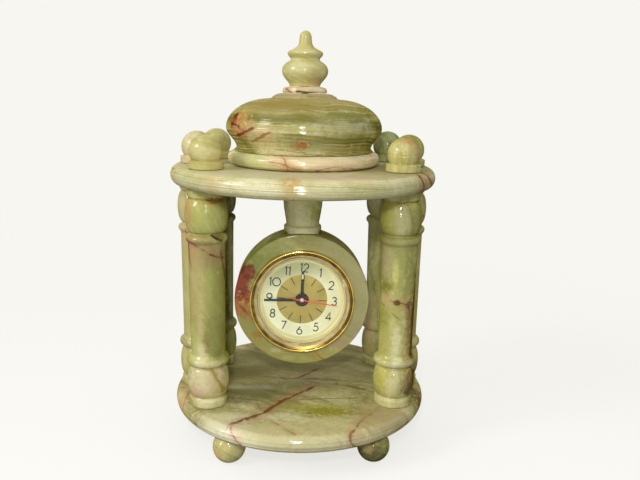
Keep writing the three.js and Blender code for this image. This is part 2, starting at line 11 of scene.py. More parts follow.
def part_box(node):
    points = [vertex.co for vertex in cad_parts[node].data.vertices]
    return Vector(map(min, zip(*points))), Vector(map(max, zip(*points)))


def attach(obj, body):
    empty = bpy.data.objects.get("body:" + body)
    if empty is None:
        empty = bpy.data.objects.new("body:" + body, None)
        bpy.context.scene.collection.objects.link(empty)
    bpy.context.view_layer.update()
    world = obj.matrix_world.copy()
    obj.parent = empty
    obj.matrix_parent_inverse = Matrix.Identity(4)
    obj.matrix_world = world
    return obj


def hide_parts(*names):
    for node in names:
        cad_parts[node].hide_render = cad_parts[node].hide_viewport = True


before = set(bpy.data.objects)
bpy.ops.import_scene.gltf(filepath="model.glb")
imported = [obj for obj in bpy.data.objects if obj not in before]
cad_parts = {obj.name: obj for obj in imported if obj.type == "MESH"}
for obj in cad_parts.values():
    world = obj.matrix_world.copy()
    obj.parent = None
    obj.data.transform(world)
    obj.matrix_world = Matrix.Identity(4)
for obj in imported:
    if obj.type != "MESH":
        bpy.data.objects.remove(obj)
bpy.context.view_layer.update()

MM = 0.001
ORIGIN = Vector((0, 0, 0))

# Sides of turned pieces
VERY_FINE = 192
FINE = 160
INSERT_SIDES = 128
MEDIUM = 96
MODERATE = 72
COARSE = 64
SMALL = 48

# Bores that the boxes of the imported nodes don't show, in millimetres
TIE_ROD_HOLE_R = 2.3
CENTRE_ROD_HOLE_R = 2.8
DRUM_BORE_R = 31.2
NUT_POCKET_R = 6
NUT_POCKET_DEPTH = 5.6

# Between the stem's saddle and the drum
DRUM_GAP = 0.3

# Largest share of a side that the rounding of its corner takes
ROUNDED_SHARE = 0.45

SIDES_OF_CLOCK = ("right", "back_right", "back_left", "left", "front_left", "front_right")


def box(node):
    """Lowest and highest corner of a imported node, in millimetres."""
    low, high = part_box(node)
    return low / MM, high / MM


def middle(node):
    """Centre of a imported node's underside, in millimetres."""
    low, high = box(node)
    return Vector(((low.x + high.x) / 2, (low.y + high.y) / 2, low.z))


def radius_of(node):
    low, high = box(node)
    return (high.x - low.x) / 2


def height_of(node):
    low, high = box(node)
    return high.z - low.z


# The axis of the dial, and the plane of the drum's front face
DRUM_LOW, DRUM_HIGH = box("clock_drum")
DIAL_Z = (DRUM_LOW.z + DRUM_HIGH.z) / 2
DRUM_FRONT = DRUM_LOW.y
DIAL_PLACE = Vector((0, DRUM_FRONT, DIAL_Z))


# Meshes

def in_scene(name, data):
    """An object in the scene that holds a mesh, a lamp or a camera."""
    made = bpy.data.objects.new(name, data)
    bpy.context.scene.collection.objects.link(made)
    return made


def linked(name, mesh, body, nodes=()):
    """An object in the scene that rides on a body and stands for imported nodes."""
    made = in_scene(name, mesh)
    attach(made, body)
    if nodes:
        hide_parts(*nodes)
    return made


def dress(piece, material):
    piece.data.materials.clear()
    piece.data.materials.append(material)


def smooth(mesh, sharp_degrees):
    for face in mesh.polygons:
        face.use_smooth = True
    mesh.set_sharp_from_angle(angle=math.radians(sharp_degrees))


def arc(centre_r, centre_h, half_width, half_height, start, end, steps=12):
    """Profile points on an ellipse, with angles in degrees up from level."""
    points = []
    for i in range(steps + 1):
        angle = math.radians(start + (end - start) * i / steps)
        points.append((centre_r + half_width * math.cos(angle), centre_h + half_height * math.sin(angle)))
    return points


def ogee(from_r, from_h, to_r, to_h, steps):
    """Profile points on a double bend that starts and ends upright."""
    points = []
    for i in range(steps + 1):
        share = i / steps
        points.append((from_r + (to_r - from_r) * (1 - math.cos(math.pi * share)) / 2,
                       from_h + (to_h - from_h) * share))
    return points


def section(inner, outer, start, end):
    """Profile corners of a plain ring, or of a plain rod where the inner radius is 0."""
    return [(inner, start), (outer, start), (outer, end), (inner, end)]


def flowing(points, steps=5):
    """A smooth profile through a few points."""
    ends = [points[0], *points, points[-1]]
    found = [points[0]]
    for a, b, c, d in zip(ends, ends[1:], ends[2:], ends[3:]):
        for k in range(1, steps + 1):
            t = k / steps
            found.append(tuple(
                0.5 * (2 * q + (r - p) * t + (2 * p - 5 * q + 4 * r - s) * t ** 2
                       + (3 * q - p - 3 * r + s) * t ** 3)
                for p, q, r, s in zip(a, b, c, d)))
    return found


def softened(corners, fillet, steps=4, closed=False):
    """A profile whose corners are rounded. A corner is (radius, height) or (radius, height, its own fillet)."""
    points = []
    count = len(corners)
    for i, corner in enumerate(corners):
        here = Vector(corner[:2])
        own = corner[2] if len(corner) > 2 else fillet
        if own == 0 or (not closed and i in (0, count - 1)):
            points.append(tuple(here))
            continue
        before = Vector(corners[i - 1][:2]) - here
        after = Vector(corners[(i + 1) % count][:2]) - here
        reach = min(own, before.length * ROUNDED_SHARE, after.length * ROUNDED_SHARE)
        start = here + before.normalized() * reach
        end = here + after.normalized() * reach
        for k in range(steps + 1):
            t = k / steps
            point = start * (1 - t) ** 2 + here * 2 * t * (1 - t) + end * t ** 2
            points.append(tuple(point))
    return points


def bridge(bm, rings, closed):
    """Faces between rings of vertices, any of which may be a single point."""
    pairs = list(zip(rings, rings[1:]))
    if closed:
        pairs.append((rings[-1], rings[0]))
    for lower, upper in pairs:
        sides = max(len(lower), len(upper))
        for k in range(sides):
            n = (k + 1) % sides
            corners = [*((lower[k], lower[n]) if len(lower) > 1 else lower),
                       *((upper[n], upper[k]) if len(upper) > 1 else upper)]
            if len(corners) > 2:
                bm.faces.new(corners)


def as_mesh(name, bm, turn, place=DIAL_PLACE):
    """Ends a build in millimetres as a mesh in metres."""
    bm.transform(Matrix.Scale(MM, 4) @ Matrix.Translation(place) @ turn)
    mesh = bpy.data.meshes.new(name)
    bm.to_mesh(mesh)
    bm.free()
    return mesh


def turned_mesh(name, profile, place, sides, on_dial=False, closed=False, ripple=None):
    """A turned mesh. A closed profile joins its last point to its first; any other begins and ends on the axis.
    The place is in millimetres, and on_dial turns the axis to +Y with the heights as depths."""
    bm = bmesh.new()
    rings = []
    for radius, height in profile:
        if radius < 1e-6:
            rings.append([bm.verts.new((0, 0, height))])
            continue
        ring = []
        for k in range(sides):
            angle = math.tau * k / sides
            r = ripple(radius, height, angle) if ripple else radius
            ring.append(bm.verts.new((r * math.cos(angle), r * math.sin(angle), height)))
        rings.append(ring)
    bridge(bm, rings, closed)
    turn = Matrix.Rotation(-math.pi / 2, 4, "X") if on_dial else Matrix.Identity(4)
    return as_mesh(name, bm, turn, place)


def plate_mesh(name, outline, thickness, back, turn_degrees=0, bevel=0.0):
    """A flat outline as seen from the front, drawn round the dial's axis and turned clockwise.
    Its back lies at a depth behind the drum's front face."""
    bm = bmesh.new()
    front = [bm.verts.new((x, back - thickness, y)) for x, y in outline]
    face = bm.faces.new(front)
    grown = bmesh.ops.extrude_face_region(bm, geom=[face])
    moved = [v for v in grown["geom"] if isinstance(v, bmesh.types.BMVert)]
    bmesh.ops.translate(bm, verts=moved, vec=(0, thickness, 0))
    bmesh.ops.recalc_face_normals(bm, faces=bm.faces)
    if bevel:
        rim = [e for e in bm.edges if abs(e.verts[0].co.y - e.verts[1].co.y) < 1e-9]
        bmesh.ops.bevel(bm, geom=rim, offset=bevel, segments=2, affect="EDGES", clamp_overlap=True)
    return as_mesh(name, bm, Matrix.Rotation(math.radians(turn_degrees), 4, "Y"))


def applied(piece):
    """Makes the result of a piece's modifiers its mesh."""
    bpy.context.view_layer.update()
    seen = piece.evaluated_get(bpy.context.evaluated_depsgraph_get())
    piece.data = bpy.data.meshes.new_from_object(seen)
    piece.modifiers.clear()


def finished(piece, sharp_degrees=40):
    """Shades a piece smoothly, with large faces kept flat up to their rounded edges."""
    smooth(piece.data, sharp_degrees)
    even = piece.modifiers.new("even", "WEIGHTED_NORMAL")
    even.keep_sharp = True
    applied(piece)


def faceted(piece):
    """Flat shading, without the normals that an earlier smoothing left behind."""
    piece.data.shade_flat()
    left = piece.data.attributes.get("custom_normal")
    if left:
        piece.data.attributes.remove(left)


def rod_tool(radius, start, end, place=ORIGIN, sides=SMALL, on_dial=False):
    """A cylinder to cut with, upright or along the dial's axis, in millimetres."""
    return in_scene("tool", turned_mesh("tool", section(0, radius, start, end), place, sides, on_dial))


def cut(piece, material, *tools, finish=finished):
    """Takes the tools' shapes out of a piece, and then dresses and shades it."""
    for tool in tools:
        cutter = piece.modifiers.new("cut", "BOOLEAN")
        cutter.object = tool
        cutter.operation = "DIFFERENCE"
        cutter.solver = "EXACT"
    applied(piece)
    for tool in tools:
        bpy.data.objects.remove(tool)
    dress(piece, material)
    finish(piece)


# Materials

def colour(text):
    """The linear value of a colour that is written as it shows on screen."""
    parts = [int(text[i:i + 2], 16) / 255 for i in (0, 2, 4)]
    linear = [c / 12.92 if c <= 0.04045 else ((c + 0.055) / 1.055) ** 2.4 for c in parts]
    return (*linear, 1.0)


class Graph:
    """The nodes of a new material or world. Its calls take numbers, colours or sockets and return sockets."""

    def __init__(self, name, kind="materials"):
        self.owner = getattr(bpy.data, kind).new(name)
        self.owner.use_nodes = True
        self.tree = self.owner.node_tree
        self.tree.nodes.clear()

    def node(self, kind, inputs, **settings):
        made = self.tree.nodes.new(kind)
        for key, value in settings.items():
            setattr(made, key, value)
        for key, value in inputs.items():
            if isinstance(value, bpy.types.NodeSocket):
                self.tree.links.new(value, made.inputs[key])
            else:
                made.inputs[key].default_value = value
        return made

    def millimetres(self):
        """The point on the piece, in the frame's millimetres, which moves with the piece."""
        point = self.node("ShaderNodeTexCoord", {}).outputs["Object"]
        return self.vector("MULTIPLY", point, (1 / MM, 1 / MM, 1 / MM))

    def math(self, operation, *values):
        return self.node("ShaderNodeMath", dict(enumerate(values)), operation=operation).outputs[0]

    def plus(self, *values):
        return self.math("ADD", *values)

    def minus(self, *values):
        return self.math("SUBTRACT", *values)

    def times(self, *values):
        return self.math("MULTIPLY", *values)

    def vector(self, operation, *values):
        made = self.node("ShaderNodeVectorMath", dict(enumerate(values)), operation=operation)
        return made.outputs["Value" if operation in ("DOT_PRODUCT", "LENGTH") else "Vector"]

    def split(self, vector):
        return self.node("ShaderNodeSeparateXYZ", {0: vector}).outputs

    def noise(self, point, size, detail=3.0, roughness=0.5):
        """Noise with patches of about that many millimetres: (value, three values as a vector)."""
        made = self.node("ShaderNodeTexNoise",
                         {"Vector": point, "Scale": 1 / size, "Detail": detail, "Roughness": roughness})
        return made.outputs[0], made.outputs[1]

    def layers(self, level, size, detail=5.0, roughness=0.6):
        """Uneven layers across a level, of about that many millimetres."""
        made = self.node("ShaderNodeTexNoise",
                         {"W": level, "Scale": 1 / size, "Detail": detail, "Roughness": roughness},
                         noise_dimensions="1D")
        return made.outputs[0]

    def rise(self, value, low, high, start=0.0, end=1.0):
        """Goes smoothly from start to end while the value goes from low to high."""
        made = self.node("ShaderNodeMapRange",
                         {"Value": value, "From Min": low, "From Max": high, "To Min": start, "To Max": end},
                         interpolation_type="SMOOTHSTEP")
        return made.outputs[0]

    def mix(self, share, first, second):
        return self.node("ShaderNodeMix", {0: share, 6: first, 7: second}, data_type="RGBA").outputs[2]

    def ramp(self, share, stops):
        made = self.node("ShaderNodeValToRGB", {"Fac": share})
        elements = made.color_ramp.elements
        elements[0].position, elements[0].color = stops[0]
        elements[1].position, elements[1].color = stops[-1]
        for position, tint in stops[1:-1]:
            elements.new(position).color = tint
        return made.outputs[0]

    def bump(self, height, distance, strength):
        """Distance is in millimetres."""
        made = self.node("ShaderNodeBump", {"Height": height, "Distance": distance * MM, "Strength": strength})
        return made.outputs[0]

    def surface(self, **inputs):
        """Ends the material with one principled shader, whose inputs are named with underscores for spaces."""
        named = {key.replace("_", " "): value for key, value in inputs.items()}
        return self.end(self.node("ShaderNodeBsdfPrincipled", named))

    def coat(self, base, fine, rough, spread, relief, strength, **inputs):
        """Ends the material with a shader whose gloss and relief follow a fine noise."""
        return self.surface(Base_Color=base, Roughness=self.plus(rough, self.times(fine, spread)),
                            Normal=self.bump(fine, relief, strength), **inputs)

    def shared(self, share, first, second):
        """Ends the material with one shader that goes over into another."""
        return self.end(self.node("ShaderNodeMixShader", {0: share, 1: first.outputs[0], 2: second.outputs[0]}))

    def end(self, shader):
        """Makes a shader the one that shows."""
        kind = "World" if isinstance(self.owner, bpy.types.World) else "Material"
        self.node("ShaderNodeOutput" + kind, {"Surface": shader.outputs[0]})
        return self.owner


# What a stone is painted with, in millimetres. A vein is a thin sheet through a point, square to the direction
# across, that ends at its reach from the centre. A patch is a cloud with a ragged edge, perhaps with flecks.
Vein = namedtuple("Vein", "point across width tint wobble halo centre reach strength", defaults=[0.8])
Patch = namedtuple("Patch", "centre radii tint ragged soft strength fleck", defaults=[0.5, 0.5, 0.6, None])

# Veins are painted deeper than their tint, because the gloss of the stone pales them
DEEPENING = (0.6, 0.75, 0.3, 1)

# How far the wide layers, the clouds and the mottle decide the tone of a stone
WIDE_SHARE, CLOUD_SHARE, MOTTLE_SHARE = 0.52, 0.34, 0.14


def stone_gloss(g):
    """The specular level of polished stone: full where it faces the eye, and faint where it turns away."""
    facing = g.node("ShaderNodeLayerWeight", {"Blend": 0.5}).outputs["Facing"]
    return g.rise(facing, 0.15, 0.62, 0.38, 0.0)


def onyx(name, tones, across, band, fold, seed, veined, features, lathe=1.0, thread=0.5):
    """Polished banded onyx. The tones run from the deep to the pale layers, and across is square to the layers.
    Band is the size of a layer, fold how far it bends, veined the strength of fine cracks, lathe that of the
    rings left by turning about an upright axis, and thread that of the thin layers."""
    g = Graph("onyx_" + name)
    place = g.millimetres()
    own = g.vector("ADD", place, (seed * 37.1, seed * -21.7, seed * 53.3))
    slow = g.vector("SUBTRACT", g.noise(own, 34, 2)[1], (0.5, 0.5, 0.5))
    quick = g.vector("SUBTRACT", g.noise(own, 8, 4, 0.6)[1], (0.5, 0.5, 0.5))
    mottle, jag = g.noise(own, 3.4, 6, 0.7)
    jag = g.vector("SUBTRACT", jag, (0.5, 0.5, 0.5))
    slow_parts, quick_parts, jag_parts = g.split(slow), g.split(quick), g.split(jag)
    folded = g.vector("ADD", own, g.vector("MULTIPLY", slow, (fold, fold, fold)))
    folded = g.vector("ADD", folded, g.vector("MULTIPLY", quick, (fold / 7, fold / 7, fold / 7)))
    level = g.vector("DOT_PRODUCT", g.vector("ADD", folded, g.vector("MULTIPLY", jag, (0.5, 0.5, 0.5))),
                     Vector(across).normalized())
    wide = g.layers(level, band, 5, 0.6)
    threads = g.layers(level, band / 5, 5, 0.7)
    cloud = g.noise(folded, 24, 6, 0.62)[0]
    share = g.plus(g.times(wide, WIDE_SHARE), g.times(cloud, CLOUD_SHARE))
    share = g.plus(share, g.times(mottle, MOTTLE_SHARE))
    stops = [(0.33 + 0.34 * i / (len(tones) - 1), colour(tone)) for i, tone in enumerate(tones)]
    base = g.ramp(share, stops)
    base = g.mix(g.rise(threads, 0.54, 0.66, 0.0, thread), base, colour(tones[-1]))
    base = g.mix(g.rise(threads, 0.46, 0.34, 0.0, thread), base, colour(tones[0]))
    line = g.math("ABSOLUTE", g.minus(g.layers(level, band / 2.4, 3, 0.5), 0.5))
    line = g.times(g.rise(line, 0.0, 0.03, 0.75, 0.0), g.rise(cloud, 0.46, 0.56))
    base = g.mix(g.times(line, thread), base, colour("f0ead0"))
    base = g.mix(g.rise(mottle, 0.56, 0.72, 0.0, 0.4), base, colour("e8e2b8"))
    base = g.mix(g.rise(mottle, 0.44, 0.28, 0.0, 0.4), base, colour(tones[0]))

    crack = g.math("ABSOLUTE", g.minus(g.noise(folded, 38, 5, 0.65)[0], 0.5))
    crack = g.rise(crack, 0.001, 0.008, 1.0, 0.0)
    crack = g.times(crack, g.rise(cloud, 0.5, 0.62, 0.0, veined))
    base = g.mix(crack, base, colour("8a5a34"))

    for number, feature in enumerate(features):
        bend = g.plus(slow_parts[number % 3], g.times(quick_parts[(number + 1) % 3], 0.5))
        rough_edge = jag_parts[(number + 2) % 3]
        if isinstance(feature, Vein):
            across = Vector(feature.across).normalized()
            away = g.vector("DOT_PRODUCT", g.vector("SUBTRACT", place, feature.point), across)
            away = g.plus(away, g.times(bend, 2 * feature.wobble))
            away = g.math("ABSOLUTE", g.plus(away, g.times(rough_edge, 2.2)))
            uneven = g.rise(quick_parts[number % 3], -0.2, 0.12, 0.3, 1.7)
            away = g.math("DIVIDE", away, uneven)
            from_centre = g.vector("LENGTH", g.vector("SUBTRACT", place, feature.centre))
            within = g.rise(from_centre, feature.reach * 0.75, feature.reach, 1.0, 0.0)
            if feature.halo:
                spread = g.rise(away, feature.width, feature.width * 6, 0.5, 0.0)
                spread = g.times(spread, g.rise(mottle, 0.36, 0.56, 0.4, 1.0))
                base = g.mix(g.times(spread, within), base, colour(feature.halo))
            core = g.rise(away, feature.width * 0.3, feature.width, feature.strength, 0.0)
            core = g.times(g.times(core, within), g.rise(uneven, 0.3, 0.8, 0.45, 1.0))
            deep = tuple(part * share for part, share in zip(colour(feature.tint), DEEPENING))
            base = g.mix(core, base, deep)
        else:
            offset = g.vector("DIVIDE", g.vector("SUBTRACT", place, feature.centre), feature.radii)
            ragged = g.plus(g.times(bend, 2 * feature.ragged), g.times(rough_edge, 3.0 * feature.ragged))
            away = g.plus(g.vector("LENGTH", offset), ragged)
            inside = g.rise(away, 1 - feature.soft, 1 + feature.soft, feature.strength, 0.0)
            tint = colour(feature.tint)
            if feature.fleck:
                tint = g.mix(g.rise(jag_parts[number % 3], 0.03, 0.1), tint, colour(feature.fleck))
            else:
                inside = g.times(inside, g.rise(mottle, 0.34, 0.52, 0.6, 1.0))
            base = g.mix(inside, base, tint)

    grain = g.noise(own, 1.1, 3, 0.6)[0]
    roughness = g.plus(0.07, g.times(grain, 0.06))
    normal = g.bump(g.noise(own, 5, 2, 0.5)[0], 0.05, 0.5)
    if lathe:
        rings = g.layers(g.split(place)[2], 1.5, 1, 0.4)
        marks = g.node("ShaderNodeBump", {"Height": rings, "Distance": 0.45 * lathe * MM, "Normal": normal})
        normal = marks.outputs[0]
    return g.surface(Base_Color=base, Roughness=roughness, IOR=1.5, Specular_IOR_Level=stone_gloss(g),
                     Subsurface_Weight=0.2, Subsurface_Radius=(1.0, 0.85, 0.4), Subsurface_Scale=0.0015,
                     Normal=normal)


def metal(name, tint, dark, roughness, grain=0.8, spread=0.5):
    """A polished or brushed metal with faint wear."""
    g = Graph(name)
    place = g.millimetres()
    wear_and_reflection = g.noise(place, 9, 4, 0.6)[0]
    fine = g.noise(place, grain, 3, 0.6)[0]
    base = g.mix(g.rise(wear_and_reflection, 0.45, 0.75, 0.0, spread), colour(tint), colour(dark))
    return g.coat(base, fine, roughness, 0.12, 0.01, 0.4, Metallic=1.0)


def plastic(name, tint, roughness, bump=0.03, speckle="2a2a28"):
    """Moulded plastic, rubber or paint with a fine texture."""
    g = Graph(name)
    place = g.millimetres()
    fine = g.noise(place, 0.5, 3, 0.6)[0]
    wide = g.noise(place, 12, 3, 0.5)[0]
    base = g.mix(g.rise(wide, 0.4, 0.75, 0.0, 0.35), colour(tint), colour(speckle))
    return g.coat(base, fine, roughness, 0.15, bump, 0.6)


def from_dial_axis(g, place):
    """How far a point lies from the axis of the dial, and how high it lies over it, in millimetres."""
    parts = g.split(g.vector("SUBTRACT", place, (0, 0, DIAL_Z)))
    squares = g.plus(g.math("POWER", parts[0], 2.0), g.math("POWER", parts[2], 2.0))
    return g.math("SQRT", squares), parts


def gilt(name):
    """Bright gilt for the bezel, with darker lacquer lying in its groove. Its darker tints and their patches
    are painted reflection, its outer wall darkens as painted shadow where it meets the drum, and its pale,
    hardly metallic inner lip is a painted reflection.
    """
    g = Graph(name)
    place = g.millimetres()
    away, parts = from_dial_axis(g, place)
    depth = g.minus(parts[1], DRUM_FRONT)
    groove = g.times(g.rise(away, 33.2, 33.5), g.rise(away, 33.95, 33.7))
    # Painted shadow: the outer wall darkens where it meets the drum, in the same colour as the groove's lacquer
    wall_shadow = g.times(g.rise(depth, -2.6, -1.4), g.rise(away, 34.3, 34.6))
    groove = g.math("MAXIMUM", groove, wall_shadow)
    fine = g.noise(place, 0.7, 3, 0.6)[0]
    # Painted reflection: the face and roll take darker gold tints, in patches from this noise, for the dark
    # surroundings they reflect; the lip is a pale, hardly metallic gold in place of its bright reflection
    wear_and_reflection = g.noise(place, 9, 4, 0.6)[0]
    face = g.mix(g.rise(wear_and_reflection, 0.42, 0.6), colour("9a7c36"), colour("644c1c"))
    roll = g.mix(g.rise(wear_and_reflection, 0.45, 0.7, 0.0, 0.6), colour("e0c068"), colour("9a742a"))
    lip = g.mix(g.rise(wear_and_reflection, 0.42, 0.6), colour("cbb988"), colour("b09c68"))
    base = g.mix(g.rise(away, 31.7, 32.2), lip, face)
    base = g.mix(g.rise(away, 33.2, 33.6), base, roll)
    base = g.mix(g.times(groove, 0.9), base, colour("3c260c"))
    return g.coat(base, fine, 0.14, 0.16, 0.008, 0.5, Metallic=g.rise(away, 31.7, 32.2, 0.15, 1.0))


def clear_lens(name):
    """A glass lens that lets the lamps' light through to the dial."""
    g = Graph(name)
    smear = g.noise(g.millimetres(), 6, 3, 0.5)[0]
    glass = g.node("ShaderNodeBsdfPrincipled", {
        "Base Color": colour("fbfdfb"), "Transmission Weight": 1.0, "IOR": 1.2,
        "Roughness": g.rise(smear, 0.55, 0.8, 0.0, 0.03)})
    clear = g.node("ShaderNodeBsdfTransparent", {"Color": colour("f6faf6")})
    shadow = g.node("ShaderNodeLightPath", {}).outputs["Is Shadow Ray"]
    return g.shared(shadow, glass, clear)


def turned(name, profile, place, sides, material, body, slot, nodes=(), sharp=40, **shape):
    """Makes, places and finishes one turned piece."""
    mesh = turned_mesh(name, profile, place, sides, **shape)
    piece = linked(name, mesh, body, nodes)
    dress(piece, material)
    finished(piece, sharp)
    return piece


def stone_piece(node, profile, sides, stone, slot="onyx", place=None, **shape):
    """A turned piece of stone that stands for the node of its name."""
    if place is None:
        place = middle(node)
    return turned(node + "_stone", profile, place, sides, stone, "clock_frame", slot, [node], **shape)


# Stone pieces

GREEN = ("77742e", "a19d4d", "b8b267", "cbc486")
PALE_GREEN = ("9a954e", "b8b06b", "ccc486", "ddd4a2")
CREAM = ("958c55", "b5aa70", "c8bd88", "dcd2a8")
OLIVE = ("5c561a", "7f7830", "a2994f", "c4bb80")


def foot(corner, tones, seed, features=()):
    node = "foot_" + corner
    radius, height = radius_of(node), height_of(node)
    flat_r = 2.8
    rise_to_centre = math.sqrt(radius ** 2 - flat_r ** 2)
    seat = math.sqrt(radius ** 2 - (height - rise_to_centre) ** 2)
    start = -math.degrees(math.acos(flat_r / radius))
    end = math.degrees(math.acos(seat / radius))
    profile = [(0, 0), *arc(0, rise_to_centre, radius, radius, start, end, 28), (0, height)]
    stone = onyx(node, tones, (0.4, 0.2, 1), 6, 10, seed, 0.35, features, 0.3, 0.3)
    stone_piece(node, profile, COARSE, stone, "onyx_green")


def disc_profile(radius, thickness, steps=24, fullness=0.85):
    """A disc whose rim is fully rounded. A fullness under 1 makes the rim squarer than a half circle."""
    half = thickness / 2
    rim = []
    for i in range(steps + 1):
        angle = math.radians(-90 + 180 * i / steps)
        across = math.cos(angle) ** fullness
        rim.append((radius - half + half * across, half + half * math.sin(angle)))
    return [(0, 0), *rim, (0, thickness)]


def stone_disc(node, material, pockets):
    """A disc with the holes of the tie rods, and the pockets of their nuts below."""
    thickness = height_of(node)
    piece = stone_piece(node, disc_profile(radius_of(node), thickness), VERY_FINE, material, "onyx_pale")
    bottom = middle(node).z
    start, end = bottom - 1, bottom + thickness + 1
    tools = []
    for side in SIDES_OF_CLOCK:
        axis = Vector((*middle("pillar_" + side).xy, 0))
        tools.append(rod_tool(TIE_ROD_HOLE_R, start, end, axis))
        if pockets:
            tools.append(rod_tool(NUT_POCKET_R, start, bottom + NUT_POCKET_DEPTH, axis))
    if not pockets:
        tools.append(rod_tool(CENTRE_ROD_HOLE_R, start, end))
    cut(piece, material, *tools)


def pillar(side, material):
    node = "pillar_" + side
    head = height_of(node)
    hole = TIE_ROD_HOLE_R
    profile = [
        *softened([(hole, 0), (12.3, 0), (12.3, 4.5), (11.3, 5.2), (10.7, 6.0)], 0.5, 4),
        *arc(10.5, 16.1, 2.8, 9.8, -84, 84, 24),
        (10.6, 26.6),
        *arc(11.2, 30, 2.4, 2.8, -70, 66, 14),
        *softened([(12.0, 33.2), (10.9, 34.1), (10.95, 42), (11.45, head - 40), (11.5, head - 33.4),
                   (12.3, head - 33.0)], 0.7, 5)[1:-1],
        *arc(11.0, head - 30.5, 2.1, 2.4, -62, 66, 12),
        *softened([(11.4, head - 28.2), (10.3, head - 27.6), (10.3, head - 26.8)], 0.4, 3)[1:-1],
        *arc(10.2, head - 16.2, 3.2, 10.4, -84, 84, 26),
        *softened([(10.5, head - 5.4), (11.8, head - 4.5), (11.8, head), (hole, head)], 0.4, 3)[1:],
    ]
    stone_piece(node, profile, MEDIUM, material, closed=True)


def ball_finial(side, material):
    node = "ball_finial_" + side
    radius, ball_up, collar_h, neck = 10.1, 10.5, 4.7, 8.5
    hole_top = 12.0
    neck_angle = math.degrees(math.acos(neck / radius))
    profile = [
        (0, hole_top), (TIE_ROD_HOLE_R, hole_top), (TIE_ROD_HOLE_R, 0),
        *softened([(TIE_ROD_HOLE_R, 0), (10.8, 0), (10.8, collar_h - 0.4), (9.2, collar_h),
                   (neck, collar_h + 0.4)], 0.5, 4)[1:-1],
        *arc(0, ball_up, radius, radius, -neck_angle, 90, 30)[:-1],
        (0, ball_up + radius),
    ]
    stone_piece(node, profile, MODERATE, material)


def dome_base_ring():
    hole = CENTRE_ROD_HOLE_R
    ring_r, ring_h = radius_of("dome_base_ring"), height_of("dome_base_ring")
    half = ring_h / 2
    profile = [
        *softened([(hole, 0), (ring_r - half - 1.2, 0), (ring_r - half - 0.4, 0.2)], 0.3, 3),
        *arc(ring_r - half, half, half, half - 0.05, -80, 74, 22),
        *softened([(ring_r - half - 0.2, ring_h - 0.1), (ring_r - half - 1, ring_h), (hole, ring_h)], 0.2, 3),
    ]
    stone = onyx("dome_ring", ("bca676", "d6c698", "e4d7ae", "f2eacc"), (0.15, 0.1, 1), 7, 18, 3, 0.7, [
        Patch((-34, -30, 186), (16, 22, 9), "b9b878", 0.4, 0.4, 0.8),
        Patch((16, -44, 187), (18, 14, 3.5), "dccaa4", 0.6),
        Vein((-10.6, -47.3, 184.5), (1, 0.2, 0.55), 0.6, "a86238", 3, "c4926a", (-9, -46, 186), 10, 0.7),
        Vein((-17, -44, 187), (0.25, 0, 1), 0.45, "ac7448", 2, "c39069", (-12, -45, 188), 13, 0.6),
        Vein((28, -40, 184.2), (0.1, 0.1, 1), 0.4, "a4704e", 2, "cca280", (34, -34, 184), 22, 0.5),
        Patch((12, -47, 184.5), (11, 6, 1.4), "ccaa84", 0.8, 0.5, 0.5),
        Vein((6, -49, 183), (-0.2, 0.1, 1), 0.35, "7e4028", 1.5, None, (8, -48, 183), 12, 0.6),
    ])
    stone_piece("dome_base_ring", profile, FINE, stone, "onyx_pink", closed=True)


